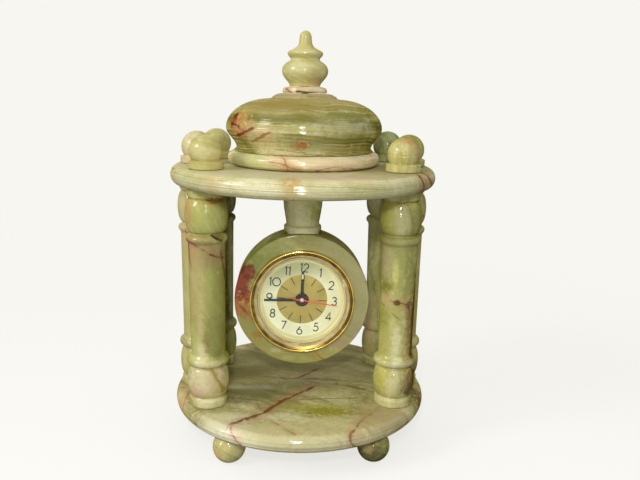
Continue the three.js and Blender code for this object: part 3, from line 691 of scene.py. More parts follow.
def dome():
    hole = CENTRE_ROD_HOLE_R
    dome_r, dome_h = radius_of("dome"), height_of("dome")
    foot_r, neck_r, neck_up, belly, step_r, crown_r = 45.6, 44.1, 1.5, 14.3, 21.5, 15.4
    step_foot = dome_h - 3.2
    profile = [
        *softened([(hole, 0), (foot_r, 0), (foot_r - 0.2, 0.5), (neck_r + 0.3, neck_up - 0.4)], 0.3, 3)[:-1],
        *ogee(neck_r, neck_up, dome_r, belly, 20),
        *arc(step_r, belly, dome_r - step_r, step_foot - 0.2 - belly, 0, 86, 44)[1:],
        *softened([(step_r + 0.7, step_foot), (step_r, step_foot + 0.1), (step_r - 0.9, step_foot + 1.2),
                   (step_r - 3.6, step_foot + 2.7), (crown_r, dome_h), (hole, dome_h)], 0.6, 4)[1:],
    ]
    stone = onyx("dome", OLIVE, (0.05, 0.04, 1), 6.5, 8, 7, 0.2, [
        Patch((0, 0, 226), (52, 52, 7), "b8a678", 0.25, 0.5, 0.65),
        Patch((-22, -30, 219), (22, 20, 5), "9c8a4c", 0.4),
        Patch((18, -42, 209), (26, 14, 2.6), "bdbd88"),
        Patch((26, -40, 202), (22, 12, 3.2), "6a6f22"),
        Patch((24, -34, 215.5), (26, 14, 1.9), "70752a", 0.5, 0.5, 0.65),
        Patch((-4, -38, 214), (34, 20, 2.4), "76722c", 0.7, 0.5, 0.75),
        Patch((-10, -30, 220), (28, 20, 4.2), "8e7e3c", 0.4, 0.6, 0.7),
        Patch((-2, -46, 197), (20, 8, 4.2), "a5aa7a"),
        Patch((-26, -40, 201), (14, 12, 7), "d0c890", 0.5, 0.5, 0.8),
        Patch((-20, -42, 193.6), (20, 10, 2.4), "d4c898", 0.9),
        Patch((4, -46, 194.5), (8, 6, 2.2), "a8ab78", 0.9, 0.4, 0.7, "d2cfa0"),
        Patch((-41, -28, 209), (9, 9, 8), "b8904e", 0.9, 0.3, 0.75, "d8c488"),
        Patch((-43, -23, 211.5), (6.5, 7, 3.2), "8a4820", 1.3, 0.25, 0.75, "bc8e50"),
        Vein((-43, -24, 211), (0.95, 0, -0.35), 0.8, "6d2e14", 4, "b0703c", (-42, -25, 211), 8, 0.85),
        Vein((-41, -27, 207), (0.45, 0, 1), 1, "6d2e14", 4, "b46a3c", (-41, -28, 207.5), 11, 0.9),
        Vein((-38, -32, 204.5), (-0.5, 0.1, 1), 0.8, "7c3a1c", 3, "c08a5c", (-37, -32, 206), 12, 0.85),
        Vein((-27, -40, 202), (-0.55, 0, 1), 0.9, "a35d38", 3, "cfa076", (-27, -40, 202.5), 11, 0.7),
        Patch((-2, -49, 197.4), (5, 4, 2.6), "a4683a", 1.3, 0.4, 0.85, "c8a868"),
        Patch((-6, -49, 195.5), (4, 4, 1.6), "b88850", 1.3, 0.4, 0.75),
        Vein((4, -47, 192.6), (0.1, 0, 1), 0.5, "7d6a3c", 2, None, (0, -47, 192), 22, 0.5),
    ])
    stone_piece("dome", profile, FINE, stone, "onyx_green", closed=True)


def finial_collar():
    hole = CENTRE_ROD_HOLE_R
    collar_r, collar_h = radius_of("finial_collar"), height_of("finial_collar")
    profile = softened([(hole, 0), (collar_r - 0.5, 0, 0.3), (collar_r, 1.0), (collar_r - 0.3, 2.8),
                        (collar_r - 1.6, 3.5), (10.7, collar_h), (hole, collar_h)], 0.6, 5)
    stone = onyx("collar", ("bea072", "dac494", "ecdaac", "f8eaca"), (0.1, 0, 1), 3.5, 6, 11, 0.5, [
        Vein((-2, -14, 228.9), (0.08, 0.1, 1), 0.55, "5a3c1c", 1.2, "ac8458", (1, -14, 229), 8, 0.9),
        Vein((-11, -10, 229.2), (0.6, 0, 1), 0.6, "7a4a2a", 2, "b98f62", (-11, -10, 229), 5),
    ])
    stone_piece("finial_collar", profile, MEDIUM, stone, "onyx_pink", closed=True)


def dome_finial():
    hole, hole_top = CENTRE_ROD_HOLE_R, 13.0
    height = height_of("dome_finial")
    profile = [
        (0, hole_top), (hole, hole_top), (hole, 0),
        *softened([(hole, 0), (10.0, 0), (10.0, 0.9), (10.4, 1.8)], 0.3, 3)[1:-1],
        *flowing([(10.4, 1.8), (12.2, 4.0), (14.2, 6.7), (14.9, 9.6), (14.2, 12.4), (12.2, 14.6), (10.1, 15.9),
                  (9.4, 17.3), (10.8, 19.0), (11.45, 20.6), (10.6, 21.9), (8.0, 23.2), (5.6, 24.7), (4.4, 26.6),
                  (4.05, 28.7), (3.85, height - 4)]),
        *arc(0, height - 4, 3.85, 4, 6, 90, 14)[:-1],
        (0, height),
    ]
    stone = onyx("finial", PALE_GREEN, (0.35, 0.1, 1), 8, 12, 13, 0.25, [
        Patch((6, -9, 236), (5, 5, 3), "c49a68", 0.5, 0.5, 0.5),
        Patch((-4, -10, 243), (6, 6, 4), "d8d9a8", 0.5, 0.5, 0.5),
        Patch((0, -4, 260), (12, 12, 9), "c8be76", 0.6, 0.5, 0.75),
    ], 0.3, 0.25)
    stone_piece("dome_finial", profile, MEDIUM, stone)


def hanging_stem():
    top = box("hanging_stem")[1].z
    head_r = radius_of("hanging_stem")
    drum_top = DRUM_HIGH.z
    collar_top = drum_top + 4.4
    hole = CENTRE_ROD_HOLE_R
    profile = [
        (hole, drum_top - 6),
        *softened([(hole, drum_top - 6), (12.6, drum_top - 6), (12.6, collar_top - 0.8), (11.9, collar_top),
                   (11.0, collar_top + 0.4)], 0.5, 4)[1:],
        *flowing([(11.0, collar_top + 0.8), (11.4, collar_top + 3.4), (12.0, collar_top + 6.9),
                  (12.7, collar_top + 11.3), (13.1, collar_top + 15.5), (head_r - 0.3, top - 4),
                  (head_r, top - 0.3)]),
        (head_r - 0.2, top),
        (hole, top),
    ]
    # Painted light: the stem's tones run paler than its stone, and two near-white patches on the front of its
    # collar and neck stand for the light that the top disc keeps from it
    stone = onyx("stem", ("9aa050", "bcbc66", "d6d284", "ece6ac"), (0.7, 0.2, 1), 10, 14, 17, 0.3, [
        Patch((-6, -10, 150), (9, 7, 9), "f0e8b4", 0.6, 0.5, 0.8),
        Patch((0, -12, 141), (16, 8, 5.5), "fbf2bc", 0.4, 0.5, 0.95),
    ], 0.2, 0.25)
    piece = stone_piece("hanging_stem", profile, MEDIUM, stone, place=ORIGIN, closed=True)
    cut(piece, stone, rod_tool(radius_of("clock_drum") + DRUM_GAP, -30, 60, DIAL_PLACE, FINE, on_dial=True))


def clock_drum():
    radius = radius_of("clock_drum")
    thick = DRUM_HIGH.y - DRUM_LOW.y
    profile = softened([(DRUM_BORE_R, 0, 0.3), (radius, 0, 1.1), (radius, thick, 1.1),
                        (DRUM_BORE_R, thick, 0.3)], 1.0, 6, closed=True)
    stone = onyx("drum", ("85863c", "a4a053", "b8b26a", "cbc38a"), (0.5, 0.1, 1), 16, 24, 19, 0.35, [
        Patch((40, -14, 95), (14, 20, 34), "b5af7c", 0.3, 0.5, 0.85),
        Patch((24, -14, 128), (18, 20, 12), "b0aa74", 0.4, 0.5, 0.75),
        Patch((-30, -14, 122), (20, 20, 14), "8f9644", 0.6, 0.4, 0.7),
        Patch((-12, -14, 130), (8, 12, 3), "b0b470", 1),
        Patch((-27, -14, 124), (4, 10, 2.4), "b0b470", 1),
        Patch((-36, -14, 74), (9, 14, 9), "9a9446", 0.5, 0.4, 0.7),
        Patch((-33, -14, 62), (9, 12, 9), "a89c48", 0.7, 0.5, 0.7),
        Patch((-34, -14, 118), (7, 12, 7), "7f8a34", 0.9, 0.5, 0.7, "9aa24e"),
        Patch((-20, -14, 131), (8, 12, 4), "97a048", 0.9),
        Patch((4, -14, 134), (10, 12, 4), "9c9c54", 0.9),
        Patch((-31, -14, 67.5), (3.4, 6, 2.4), "a88432", 0.9, 0.4, 0.8, "bca450"),
        Patch((2, -14, 52), (28, 14, 7), "a8a562", 0.6, 0.4),
        Patch((-16.5, -14, 56.5), (3, 8, 1.6), "c8c48c", 1, 0.5, 0.7, "a8a866"),
        Patch((-9, -14, 51), (5, 10, 1.8), "c4c088", 1, 0.5, 0.65),
        Patch((11, -14, 52), (4, 8, 2.6), "b09844", 0.9, 0.4, 0.7, "c0b470"),
        Patch((28, -14, 62), (7, 8, 5), "b89c7a", 0.8, 0.4, 0.7, "c08a78"),
        Patch((38.5, -14, 70), (5, 8, 6), "b5a17e", 0.8, 0.4),
        Patch((-41, -13, 88.5), (6.5, 9, 7.5), "a86218", 0.7, 0.25, 0.9, "c4963c"),
        Patch((-41, -13, 103), (6.5, 10, 12), "93320a", 0.6, 0.2, 0.95, "5e1c00"),
        Patch((-37.5, -13, 112), (5, 8, 4.5), "762604", 0.8, 0.2, 0.9, "9c4a10"),
        Patch((-42, -13, 98), (1, 5, 0.7), "c8a070", 1),
        Vein((-36, -14, 82), (0.75, 0, 0.65), 0.8, "9a4a22", 2.5, "c08a48", (-37, -14, 83), 8),
        Vein((15, -14, 50), (0.75, 0, 0.8), 0.5, "a0703c", 1.5, "c8a468", (14, -14, 51), 7, 0.7),
    ], 0, 0.2)
    piece = stone_piece("clock_drum", profile, VERY_FINE, stone, place=DIAL_PLACE, on_dial=True, closed=True)
    cut(piece, stone, rod_tool(CENTRE_ROD_HOLE_R, middle("centre_rod").z - 0.5, DRUM_HIGH.z + 5))


def base_stone():
    return onyx("base", ("5e592a", "8f8850", "b8b078", "dad1a0"), (0.35, 0.8, 0.35), 16, 26, 23, 0.25, [
        Patch((0, 40, 29), (80, 42, 10), "8f8760", 0.5, 0.6, 0.7),
        Patch((-50, 0, 29), (30, 34, 9), "7f7644"),
        Patch((-10, -74, 24), (80, 15, 14), "cbc18e", 0.4, 0.6, 0.7),
        Patch((0, -86, 23), (90, 9, 9), "ccc598", 0.3, 0.6, 0.75),
        Patch((-46, -70, 21), (20, 16, 9), "e8e3c0", 0.5, 0.6, 0.85),
        Patch((52, -56, 29), (20, 14, 5), "b3a67c"),
        Patch((-30, -20, 29), (26, 12, 8), "7c763e", 0.8, 0.4, 0.5),
        Patch((-8, -43, 29), (12, 6, 6), "a09c50", 1.1),
        Patch((12, -49, 29), (21, 9, 8), "a8a254", 1.2, 0.4, 0.7, "bab56a"),
        Patch((17, -50, 29), (15, 5.5, 8), "8a8526", 1.2, 0.3, 0.8, "a09a40"),
        Patch((35, -52, 29), (7, 3.4, 8), "85801f", 1.2, 0.3, 0.7, "a8a04c"),
        Patch((-30, -58, 28), (30, 7, 6), "d6d0a4", 0.9),
        Patch((-38, -14, 29), (22, 3.5, 6), "c2baa0", 1),
        Vein((-10, -33, 29), (-0.731, 0.682, 0.05), 1.3, "84502a", 5, "a8795c", (-16, -40, 28), 46, 0.9),
        Vein((5, 10, 29), (-0.717, 0.697, 0), 0.8, "5c3628", 2, "9b7a62", (5, 11, 28), 14),
        Vein((-1.6, 2.2, 29), (0.1, 1, 0), 0.8, "5c4034", 3, "94806a", (0, 0, 29), 30, 0.6),
        Vein((30, -3, 29), (0.12, 1, 0), 0.6, "6a5a44", 2.5, None, (30, -3, 29), 34, 0.5),
        Vein((22, -31.5, 29), (-0.04, 1, 0), 0.45, "54432e", 1, None, (22, -31, 29), 27, 0.75),
        Vein((40, -60, 28), (0.85, -0.52, 0.12), 0.9, "9c5a38", 5, "b48860", (38, -66, 25), 29, 0.75),
        Vein((-11, -72, 29), (0.77, 0.63, 0), 0.7, "9c7c48", 3, "b99a6a", (-11, -72, 28), 13, 0.6),
        Patch((-80, -24, 25), (7, 16, 6), "d0b47c", 1, 0.5, 0.6, "d4c890"),
        Patch((79, -26, 27), (8, 12, 6), "6e5a30", 1, 0.35, 0.8, "b0a068"),
        Patch((48, -58, 28), (16, 14, 8), "a89868", 0.7),
        Vein((-76, -25, 27), (1, -0.18, 0.1), 0.9, "a87a58", 3, "cfa98a", (-76, -25, 26), 22, 0.6),
        Vein((-41, -74, 24), (0.6, -0.3, 0.7), 0.8, "a2704a", 2, "cf9a8c", (-41, -73, 24), 8, 0.6),
    ], thread=0.3)


def top_stone():
    return onyx("top", ("a09c60", "bcb77e", "cdc797", "dfd9b6"), (0.02, 0.03, 1), 3.2, 4.5, 29, 0.2, [
        Patch((0, 0, 182.5), (80, 80, 1.6), "a8a074", 0.2, 0.6),
        Patch((60, -20, 183), (34, 50, 2), "988a5c", 0.3, 0.6, 0.7),
        Patch((-62, -22, 183), (26, 40, 2), "c8c08c", 0.6, 0.6),
        Patch((-31, -79, 177), (13, 12, 4.5), "e8e2c0", 0.6, 0.6),
        Patch((-8, -84, 177), (4, 6, 6), "c0a060", 1.1, 0.5, 0.55, "d8c690"),
        Patch((-10, -80, 181), (4, 8, 2.5), "b8904e", 1.1, 0.5, 0.5, "d2b880"),
        Patch((-53, -67, 176), (5, 5, 6), "cba878", 0.8, 0.6, 0.5),
        Patch((70, -50, 176), (7, 7, 6), "b08a6a", 0.6, 0.4),
        Vein((-83, -14, 178), (0.5, 0.3, 0.8), 0.7, "a4743c", 3, "c8a878", (-83, -14, 178), 14, 0.7),
        Vein((70, -50, 176), (1, 0.5, 0.4), 0.8, "7a3c22", 3, "a8714c", (71, -50, 176), 9, 0.85),
        Vein((77, -40, 178), (0.8, 0.3, 0.8), 0.7, "6c3a20", 3, "a8714c", (76, -41, 177), 9),
        Patch((22, -70, 182), (26, 16, 1.5), "c9a888", 0.6, 0.5, 0.5),
        Vein((-30, -40, 182), (0.3, 1, 0), 0.5, "8f7a50", 4, None, (-30, -40, 182), 40, 0.35),
    ])


PILLAR_STONES = {
    "front_left": (GREEN, (0.9, 0.3, 0.35), 13, 31, [
        Patch((-55, -45, 163.6), (6.5, 9, 1.9), "8c5a20", 0.9, 0.4, 0.75, "b08c48"),
        Patch((-71, -40, 157), (4, 8, 10), "c0955c", 0.6, 0.5, 0.7),
        Patch((-60, -46, 153), (8, 8, 9), "b0b460", 0.4, 0.4),
        Patch((-62, -44, 131), (15, 12, 11), "988752", 0.5, 0.4, 0.8),
        Patch((-70, -42, 134), (4, 7, 6), "c09068", 0.8, 0.4, 0.7),
        Vein((-60, -46, 132.6), (0.54, 0, 1), 0.8, "6e3414", 2, "a0744c", (-61, -42, 132), 15, 0.9),
        Vein((-71, -40, 130), (1, 0, 0.12), 0.7, "8a4a26", 2, "b88860", (-71, -40, 130), 12, 0.7),
        Vein((-54, -42, 141), (0.5, 0.1, 0.85), 0.8, "43300f", 1.5, "6c5a28", (-54, -42, 141), 5, 0.9),
        Vein((-51, -38, 124), (1, 0.1, 0.1), 0.6, "7a3f22", 2, "a8845c", (-51, -38, 123), 12, 0.75),
        Patch((-66, -42, 106), (6, 10, 24), "b9a970", 0.5, 0.5, 0.7),
        Patch((-54, -42, 98), (7, 9, 26), "8f923f"),
        Patch((-54, -43, 76), (7, 8, 14), "84843c", 0.7, 0.4, 0.7),
        Patch((-61, -46, 73), (3, 6, 5), "8a7440", 0.9, 0.4),
        Patch((-65, -44, 66), (4.5, 8, 8), "d8cfa0", 0.7, 0.35, 0.8),
        Patch((-69, -42, 70), (3, 7, 12), "a9b25c", 0.6, 0.4),
        Patch((-64, -44, 82), (2.2, 7, 9), "c6b884", 0.9),
        Patch((-58, -45, 112), (2, 7, 14), "a8ac5c", 0.9),
        Patch((-57, -45, 60), (8, 7, 2.5), "d4cf9c", 0.6),
        Patch((-61, -44, 46), (13, 12, 12), "d8cca2", 0.5, 0.4, 0.9),
        Vein((-54.6, -43, 49), (0.9, 0.1, 0.42), 1.5, "c49a54", 2.5, "c4a870", (-54.5, -43, 48), 11),
        Patch((-67, -42, 40), (5, 8, 5), "cfa888", 0.8, 0.4),
        Patch((-58, -46, 33), (12, 9, 4), "dcd7aa", 0.5, 0.4, 0.8),
    ]),
    "front_right": (GREEN, (1, 0.45, 0.12), 7, 37, [
        Patch((51.5, -42, 155), (3.5, 9, 9), "b2ae44", 0.9, 0.5, 0.7, "c4bc58"),
        Patch((60, -46, 152), (4, 7, 11), "c0bc8a", 1, 0.6, 0.6, "d2ce9c"),
        Patch((70, -40, 150), (4, 9, 13), "7c7630", 0.9),
        Patch((60, -44, 138), (14, 12, 5), "9a9458"),
        Patch((53, -43, 126), (4, 8, 9), "c4b684", 0.9, 0.5, 0.7),
        Patch((61, -45, 124), (7, 8, 10), "959a50", 1, 0.5, 0.6, "b0b268"),
        Patch((57, -45, 119), (1.6, 6, 7), "d6d07c", 1, 0.4, 0.75),
        Patch((66, -44, 116), (3.5, 9, 22), "8a8a38", 1, 0.5, 0.7, "aaa858"),
        Patch((60.5, -45, 112), (2, 7, 12), "a0a456", 1),
        Patch((53, -44, 111), (4.5, 6, 3.2), "7e7a1c", 1, 0.4, 0.8, "a09c48"),
        Patch((53, -44, 101), (4, 8, 5), "caac78", 1, 0.4, 0.7),
        Patch((65, -44, 101), (6, 8, 4), "b08c50", 1),
        Patch((58.6, -46, 100.6), (2.3, 5, 2), "1c0400", 0.35, 0.25, 1, "2c0c02"),
        Patch((66.4, -43, 98.8), (2.3, 5, 2), "1c0600", 0.35, 0.25, 1, "341404"),
        Vein((60, -45, 100.4), (0.2, 0, 1), 0.4, "7a4a1c", 2.4, "a88648", (62, -44, 100), 9),
        Vein((55, -44, 95), (0.6, 0, 0.8), 0.5, "7c7a30", 3, "a8a458", (56, -44, 95), 9, 0.6),
        Vein((67, -43, 93), (1, 0, 0.2), 0.5, "6c4014", 2, "8c6c3c", (67, -43, 93), 7),
        Patch((53, -43, 76), (4, 8, 18), "b8b460", 0.9),
        Patch((59.5, -46, 70), (3.2, 6, 15), "dcd8a4", 1, 0.6, 0.8),
        Patch((56.5, -45, 84), (2, 6, 8), "c8c480", 1, 0.6),
        Patch((68.5, -41, 78), (3.5, 9, 22), "8c6c2c", 1, 0.4, 0.8, "a89048"),
        Patch((70.4, -39, 84), (2, 4, 30), "5a3e08", 0.8, 0.4, 0.9, "78581a"),
        Patch((60, -46, 59), (10, 9, 3), "c8c69a", 0.6),
        Patch((52, -43, 50), (3, 8, 5), "b8b24c", 0.9, 0.5, 0.65),
        Patch((59, -46, 45), (5, 8, 8), "cec692", 0.9),
        Patch((71.5, -39, 46), (5.2, 7, 10), "5e4216", 0.9, 0.4, 0.85, "806430"),
        Vein((71.2, -40, 47), (0.92, 0, -0.4), 3.4, "664412", 2, "806428", (69.5, -42, 46), 10, 0.9),
        Vein((66, -43, 47), (0.92, 0, -0.4), 0.8, "966c28", 2.5, "9c8448", (66, -43, 46), 10, 0.85),
        Patch((68.2, -43, 48), (1.4, 5, 2.4), "7e5418", 0.9, 0.4, 0.8),
        Patch((58, -44, 33), (14, 12, 3.6), "ccc894", 0.5, 0.4, 0.7),
        Patch((70, -40, 33), (4, 8, 3.6), "8e8038", 0.9, 0.4, 0.7),
    ]),
    "left": (CREAM, (1, 0.3, 0.2), 9, 41, [
        Patch((-78, -8, 157), (8, 10, 12), "bdb170", 0.5, 0.4),
        Patch((-78, -8, 137), (6, 8, 6), "c8a47c", 0.7, 0.4, 0.7),
        Patch((-78, -8, 100), (6, 10, 30), "b4b068", 0.5, 0.4),
        Patch((-80, -6, 48), (6, 8, 9), "c2bc74", 0.8),
        Patch((-76, -10, 40), (6, 8, 6), "b4ae58", 0.7, 0.4, 0.7),
        Vein((-76, -9, 131), (1, 0, 0.2), 0.6, "a06a48", 2, "c99c78", (-76, -9, 132), 10, 0.6),
    ]),
    "right": (GREEN, (1, 0.2, 0.15), 8, 43, [
        Patch((77, -9, 43), (6, 7, 6), "7a6a3c", 0.8, 0.4, 0.7, "9c8e58"),
        Vein((78, -8, 40), (0.8, 0, 1), 0.7, "6a2e18", 2, "8f6238", (77, -9, 39), 6),
        Vein((80, -3, 150), (0.6, 0, 0.8), 0.6, "7c4a24", 2, "a0804c", (80, -3, 152), 14, 0.7),
    ]),
    "back_left": (("5c5c20", "7e7e36", "999950", "b8b47a"), (1, 0.5, 0.2), 9, 47, [
        Patch((-52, 28, 48), (9, 12, 12), "9ea24c"),
    ]),
    "back_right": (("848444", "a4a260", "bcb878", "d2cc98"), (1, 0.4, 0.05), 6, 53, [
        Patch((51, 28, 60), (3, 8, 22), "ceb284", 0.9),
    ]),
}

BALL_STONES = {
    "front_left": (PALE_GREEN, (0.3, 0.1, 1), 12, 59, [
        Patch((-55, -42, 186), (6, 6, 4), "bda866", 0.5, 0.5, 0.5),
    ]),
    "left": (CREAM, (1, 0.2, 0.4), 9, 61, [
        Patch((-78, -6, 186), (8, 8, 4), "d8bf98"),
        Patch((-79, -7, 197), (10, 10, 9), "e2d8a8", 0.5, 0.5, 0.5),
    ]),
    "back_left": (PALE_GREEN, (1, 0.2, 0.2), 9, 67, []),
    "front_right": (PALE_GREEN, (1, 0.3, 0.05), 4.5, 71, [
        Patch((65, -38, 201.5), (8, 10, 2.4), "b08a4c", 0.6, 0.4, 0.8),
        Vein((69, -40, 197), (1, -0.4, 0.5), 0.7, "8a5a24", 2, "b98a50", (69, -40, 197), 8, 0.7),
    ]),
    "right": (GREEN, (1, 0.3, 0.2), 6, 73, []),
    "back_right": (("5f6c38", "80884e", "989e62", "b8ba80"), (1, 0.3, 0.3), 8, 79, []),
}


def stone_pieces():
    foot("front_left", PALE_GREEN, 83, [Patch((-52, -63, 6), (5, 6, 5), "d2a364", 0.5, 0.4, 0.7)])
    foot("front_right", GREEN, 89, [Patch((44, -66, 5), (14, 14, 12), "525012", 0.5, 0.4, 0.9),
                                    Patch((41, -67, 12), (3, 4, 3), "c8a46c", 0.5, 0.4)])
    foot("back_left", GREEN, 97)
    foot("back_right", PALE_GREEN, 101)
    stone_disc("base_disc", base_stone(), pockets=True)
    stone_disc("top_disc", top_stone(), pockets=False)
    for side in SIDES_OF_CLOCK:
        tones, across, band, seed, features = PILLAR_STONES[side]
        pillar(side, onyx("pillar_" + side, tones, across, band, 15, seed, 0.3, features, 0.15, 0.22))
        tones, across, band, seed, features = BALL_STONES[side]
        ball_finial(side, onyx("ball_" + side, tones, across, band, 10, seed, 0.2, features, 0.4, 0.2))
    for build in (dome_base_ring, dome, finial_collar, dome_finial, hanging_stem, clock_drum):
        build()


# Clock insert

# Millimetres and degrees. Depths count from the drum's front face.
INSERT_R = 29.7
DIAL_TURN = 3.5
DIAL_FACE = 3.1
DIAL_VIEW_R = 27.7
CENTRE_DISC_R = 17.1
HOUR_LINE_FROM = 11.2
HOUR_LINE_TO = 16.9
NUMERAL_RING_R = 22.0
NUMERAL_H = 5.6
STROKE = 0.78
HOUR_LINE = 0.55
PRINT = 0.05
PRINT_GAP = 0.01
CELL_DROP = 16
NUT_HALF_FLATS = 3.5


def on_dial(name, profile, sides, material, slot, nodes=(), body="clock_insert", sharp=40, **shape):
    """A piece turned about the axis of the dial."""
    return turned(name, profile, DIAL_PLACE, sides, material, body, slot, nodes, sharp, on_dial=True, **shape)


def bezel_and_lens(gold):
    skirt_out, skirt_in, skirt_end = 30.7, 30.0, 8.0
    lip = 30.6
    profile = [
        *softened([(skirt_out, skirt_end), (skirt_in, skirt_end, 0.1), (skirt_in, -1.0, 0.1),
                   (31.9, -1.0, 0.1), (31.9, -2.9, 0.1), (lip, -2.9, 0.15), (lip, -3.3, 0.2),
                   (31.7, -3.5, 0.5), (33.35, -4.3, 0.3), (33.6, -3.95)], 0.3, 5)[1:-1],
        *arc(34.3, -3.9, 0.7, 0.7, -176, 0, 14),
        *softened([(35.0, -3.9), (35.0, -3.0), (34.75, -0.3, 0.15), (skirt_out, -0.3, 0.1),
                   (skirt_out, skirt_end)], 0.2, 4)[1:],
    ]
    on_dial("bezel_gilt", profile, VERY_FINE, gold, "gold", ["bezel"], closed=True)
    radius, edge, back, bulge = 31.6, -2.6, -1.2, 0.35
    front = [(radius * t, edge + bulge * t ** 2 - bulge) for t in (0, 0.15, 0.3, 0.45, 0.6, 0.75, 0.88)]
    rim = softened([front[-1], (radius, edge, 0.15), (radius, back, 0.15), (0, back)], 0.2, 3)
    on_dial("lens_glass", front + rim[1:], INSERT_SIDES, clear_lens("lens_glass"), "lens", ["lens"], sharp=30)


def reflector(material):
    profile = softened([(INSERT_R - 0.5, -0.7), (INSERT_R, -0.7), (INSERT_R, 2.8), (DIAL_VIEW_R, 2.8),
                        (DIAL_VIEW_R, 2.3)], 0.25, 3, closed=True)
    on_dial("reflector_ring_gilt", profile, FINE, material, "pale_gold", ["reflector_ring"], closed=True)


def dial_plate(material):
    profile = softened(section(2.3, INSERT_R, DIAL_FACE, DIAL_FACE + 0.5), 0.08, 2, closed=True)
    on_dial("dial_plate", profile, INSERT_SIDES, material, "dial", ["dial"], closed=True)


def centre_disc(material):
    back = DIAL_FACE - PRINT_GAP
    profile = section(2.4, CENTRE_DISC_R, back - PRINT, back)
    on_dial("dial_centre_disc", profile, INSERT_SIDES, material, "pale_gold", closed=True)


def figures():
    """The strokes of each figure, in a cell one high, with the width of the cell."""
    six_bowl = arc(0.31, 0.31, 0.31, 0.31, 0, 360, 28)
    return {
        "0": (0.94, [arc(0.47, 0.5, 0.47, 0.5, 0, 360, 32)]),
        "1": (0.26, [[(0.02, 0.86), (0.2, 1.0), (0.2, 0.0)]]),
        "2": (0.58, [[*arc(0.29, 0.71, 0.28, 0.29, 170, -35, 16), (0.02, 0.0), (0.58, 0.0)]]),
        "3": (0.56, [[*arc(0.27, 0.75, 0.23, 0.25, 160, -90, 14)],
                     [(0.22, 0.5), (0.27, 0.5), *arc(0.27, 0.27, 0.28, 0.27, 80, -160, 16)]]),
        "4": (0.62, [[(0.62, 0.26), (0.0, 0.26), (0.45, 1.0), (0.45, 0.0)]]),
        "5": (0.56, [[(0.5, 1.0), (0.16, 1.0), (0.08, 0.56), *arc(0.25, 0.32, 0.31, 0.32, 118, -150, 18)]]),
        "6": (0.62, [six_bowl, [(0.02, 0.42), (0.38, 1.0)]]),
        "7": (0.56, [[(0.0, 1.0), (0.56, 1.0), (0.16, 0.0)]]),
        "8": (0.58, [arc(0.29, 0.76, 0.23, 0.24, 0, 360, 26), arc(0.29, 0.26, 0.28, 0.26, 0, 360, 28)]),
        "9": (0.62, [[(0.62 - x, 1 - y) for x, y in six_bowl], [(0.6, 0.58), (0.24, 0.0)]]),
    }


def add_stroke(bm, points, width, back, place, sharpest=0.45):
    """Adds a ribbon of even width to a mesh, just proud of the dial. Sharpest keeps its corners short."""
    points = [Vector(p) for p in points]
    looped = (points[0] - points[-1]).length < 1e-6
    if looped:
        points = points[:-1]
    count = len(points)
    rows = []
    for i, here in enumerate(points):
        ways = []
        if looped or i > 0:
            ways.append((here - points[i - 1]).normalized())
        if looped or i < count - 1:
            ways.append((points[(i + 1) % count] - here).normalized())
        along = sum(ways, Vector((0, 0))).normalized()
        spread = max(sharpest, along.dot(ways[0]))
        side = Vector((-along.y, along.x)) * (width / 2 / spread)
        row = []
        for edge, depth in ((side, back - PRINT), (-side, back - PRINT), (-side, back), (side, back)):
            flat = place @ Vector((here.x + edge.x, 0, here.y + edge.y))
            row.append(bm.verts.new((flat.x, depth, flat.z)))
        rows.append(row)
    if not looped:
        bm.faces.new(rows[0][::-1])
        bm.faces.new(rows[-1])
    bridge(bm, rows, looped)


def printed(name, bm, ink):
    bmesh.ops.recalc_face_normals(bm, faces=bm.faces)
    mesh = as_mesh(name, bm, Matrix.Rotation(math.radians(DIAL_TURN), 4, "Y"))
    dress(linked(name, mesh, "clock_insert"), ink)


def dial_print(ink, line_ink):
    shapes = figures()
    bm = bmesh.new()
    gap = 0.16
    for hour in range(1, 13):
        text = str(hour)
        angle = math.radians(30 * hour)
        centre = (NUMERAL_RING_R * math.sin(angle), NUMERAL_RING_R * math.cos(angle))
        widths = [shapes[c][0] for c in text]
        cursor = -(sum(widths) + gap * (len(text) - 1)) / 2
        for character, width in zip(text, widths):
            for stroke in shapes[character][1]:
                placed = [((x + cursor) * NUMERAL_H, (y - 0.5) * NUMERAL_H) for x, y in stroke]
                place = Matrix.Translation((centre[0], 0, centre[1]))
                add_stroke(bm, placed, STROKE, DIAL_FACE - PRINT_GAP, place)
            cursor += width + gap
    printed("dial_numerals", bm, ink)

    bm = bmesh.new()
    for hour in range(12):
        place = Matrix.Rotation(math.radians(30 * hour), 4, "Y")
        for offset in (-0.45, 0.45) if hour == 0 else (0.0,):
            points = [(offset, HOUR_LINE_FROM), (offset, HOUR_LINE_TO)]
            add_stroke(bm, points, HOUR_LINE, DIAL_FACE - 2 * PRINT_GAP - PRINT, place)
    printed("dial_hour_lines", bm, line_ink)


def hand_outline(reach, tip_half, root_half, boss, tail=0.0, tail_half=0.0):
    """A baton's outline that widens into a round boss, anticlockwise as seen from the front."""
    spread = math.degrees(math.asin(root_half / boss))
    points = [(tip_half, reach), (-tip_half, reach)]
    if tail:
        tail_spread = math.degrees(math.asin(tail_half / boss))
        points += arc(0, 0, boss, boss, 90 + spread, 270 - tail_spread, 20)
        points += [(-tail_half, -tail), (tail_half, -tail)]
        points += arc(0, 0, boss, boss, 270 + tail_spread, 450 - spread, 20)
    else:
        points += arc(0, 0, boss, boss, 90 + spread, 450 - spread, 44)
    return points


def hand_shading(piece):
    smooth(piece.data, 25)


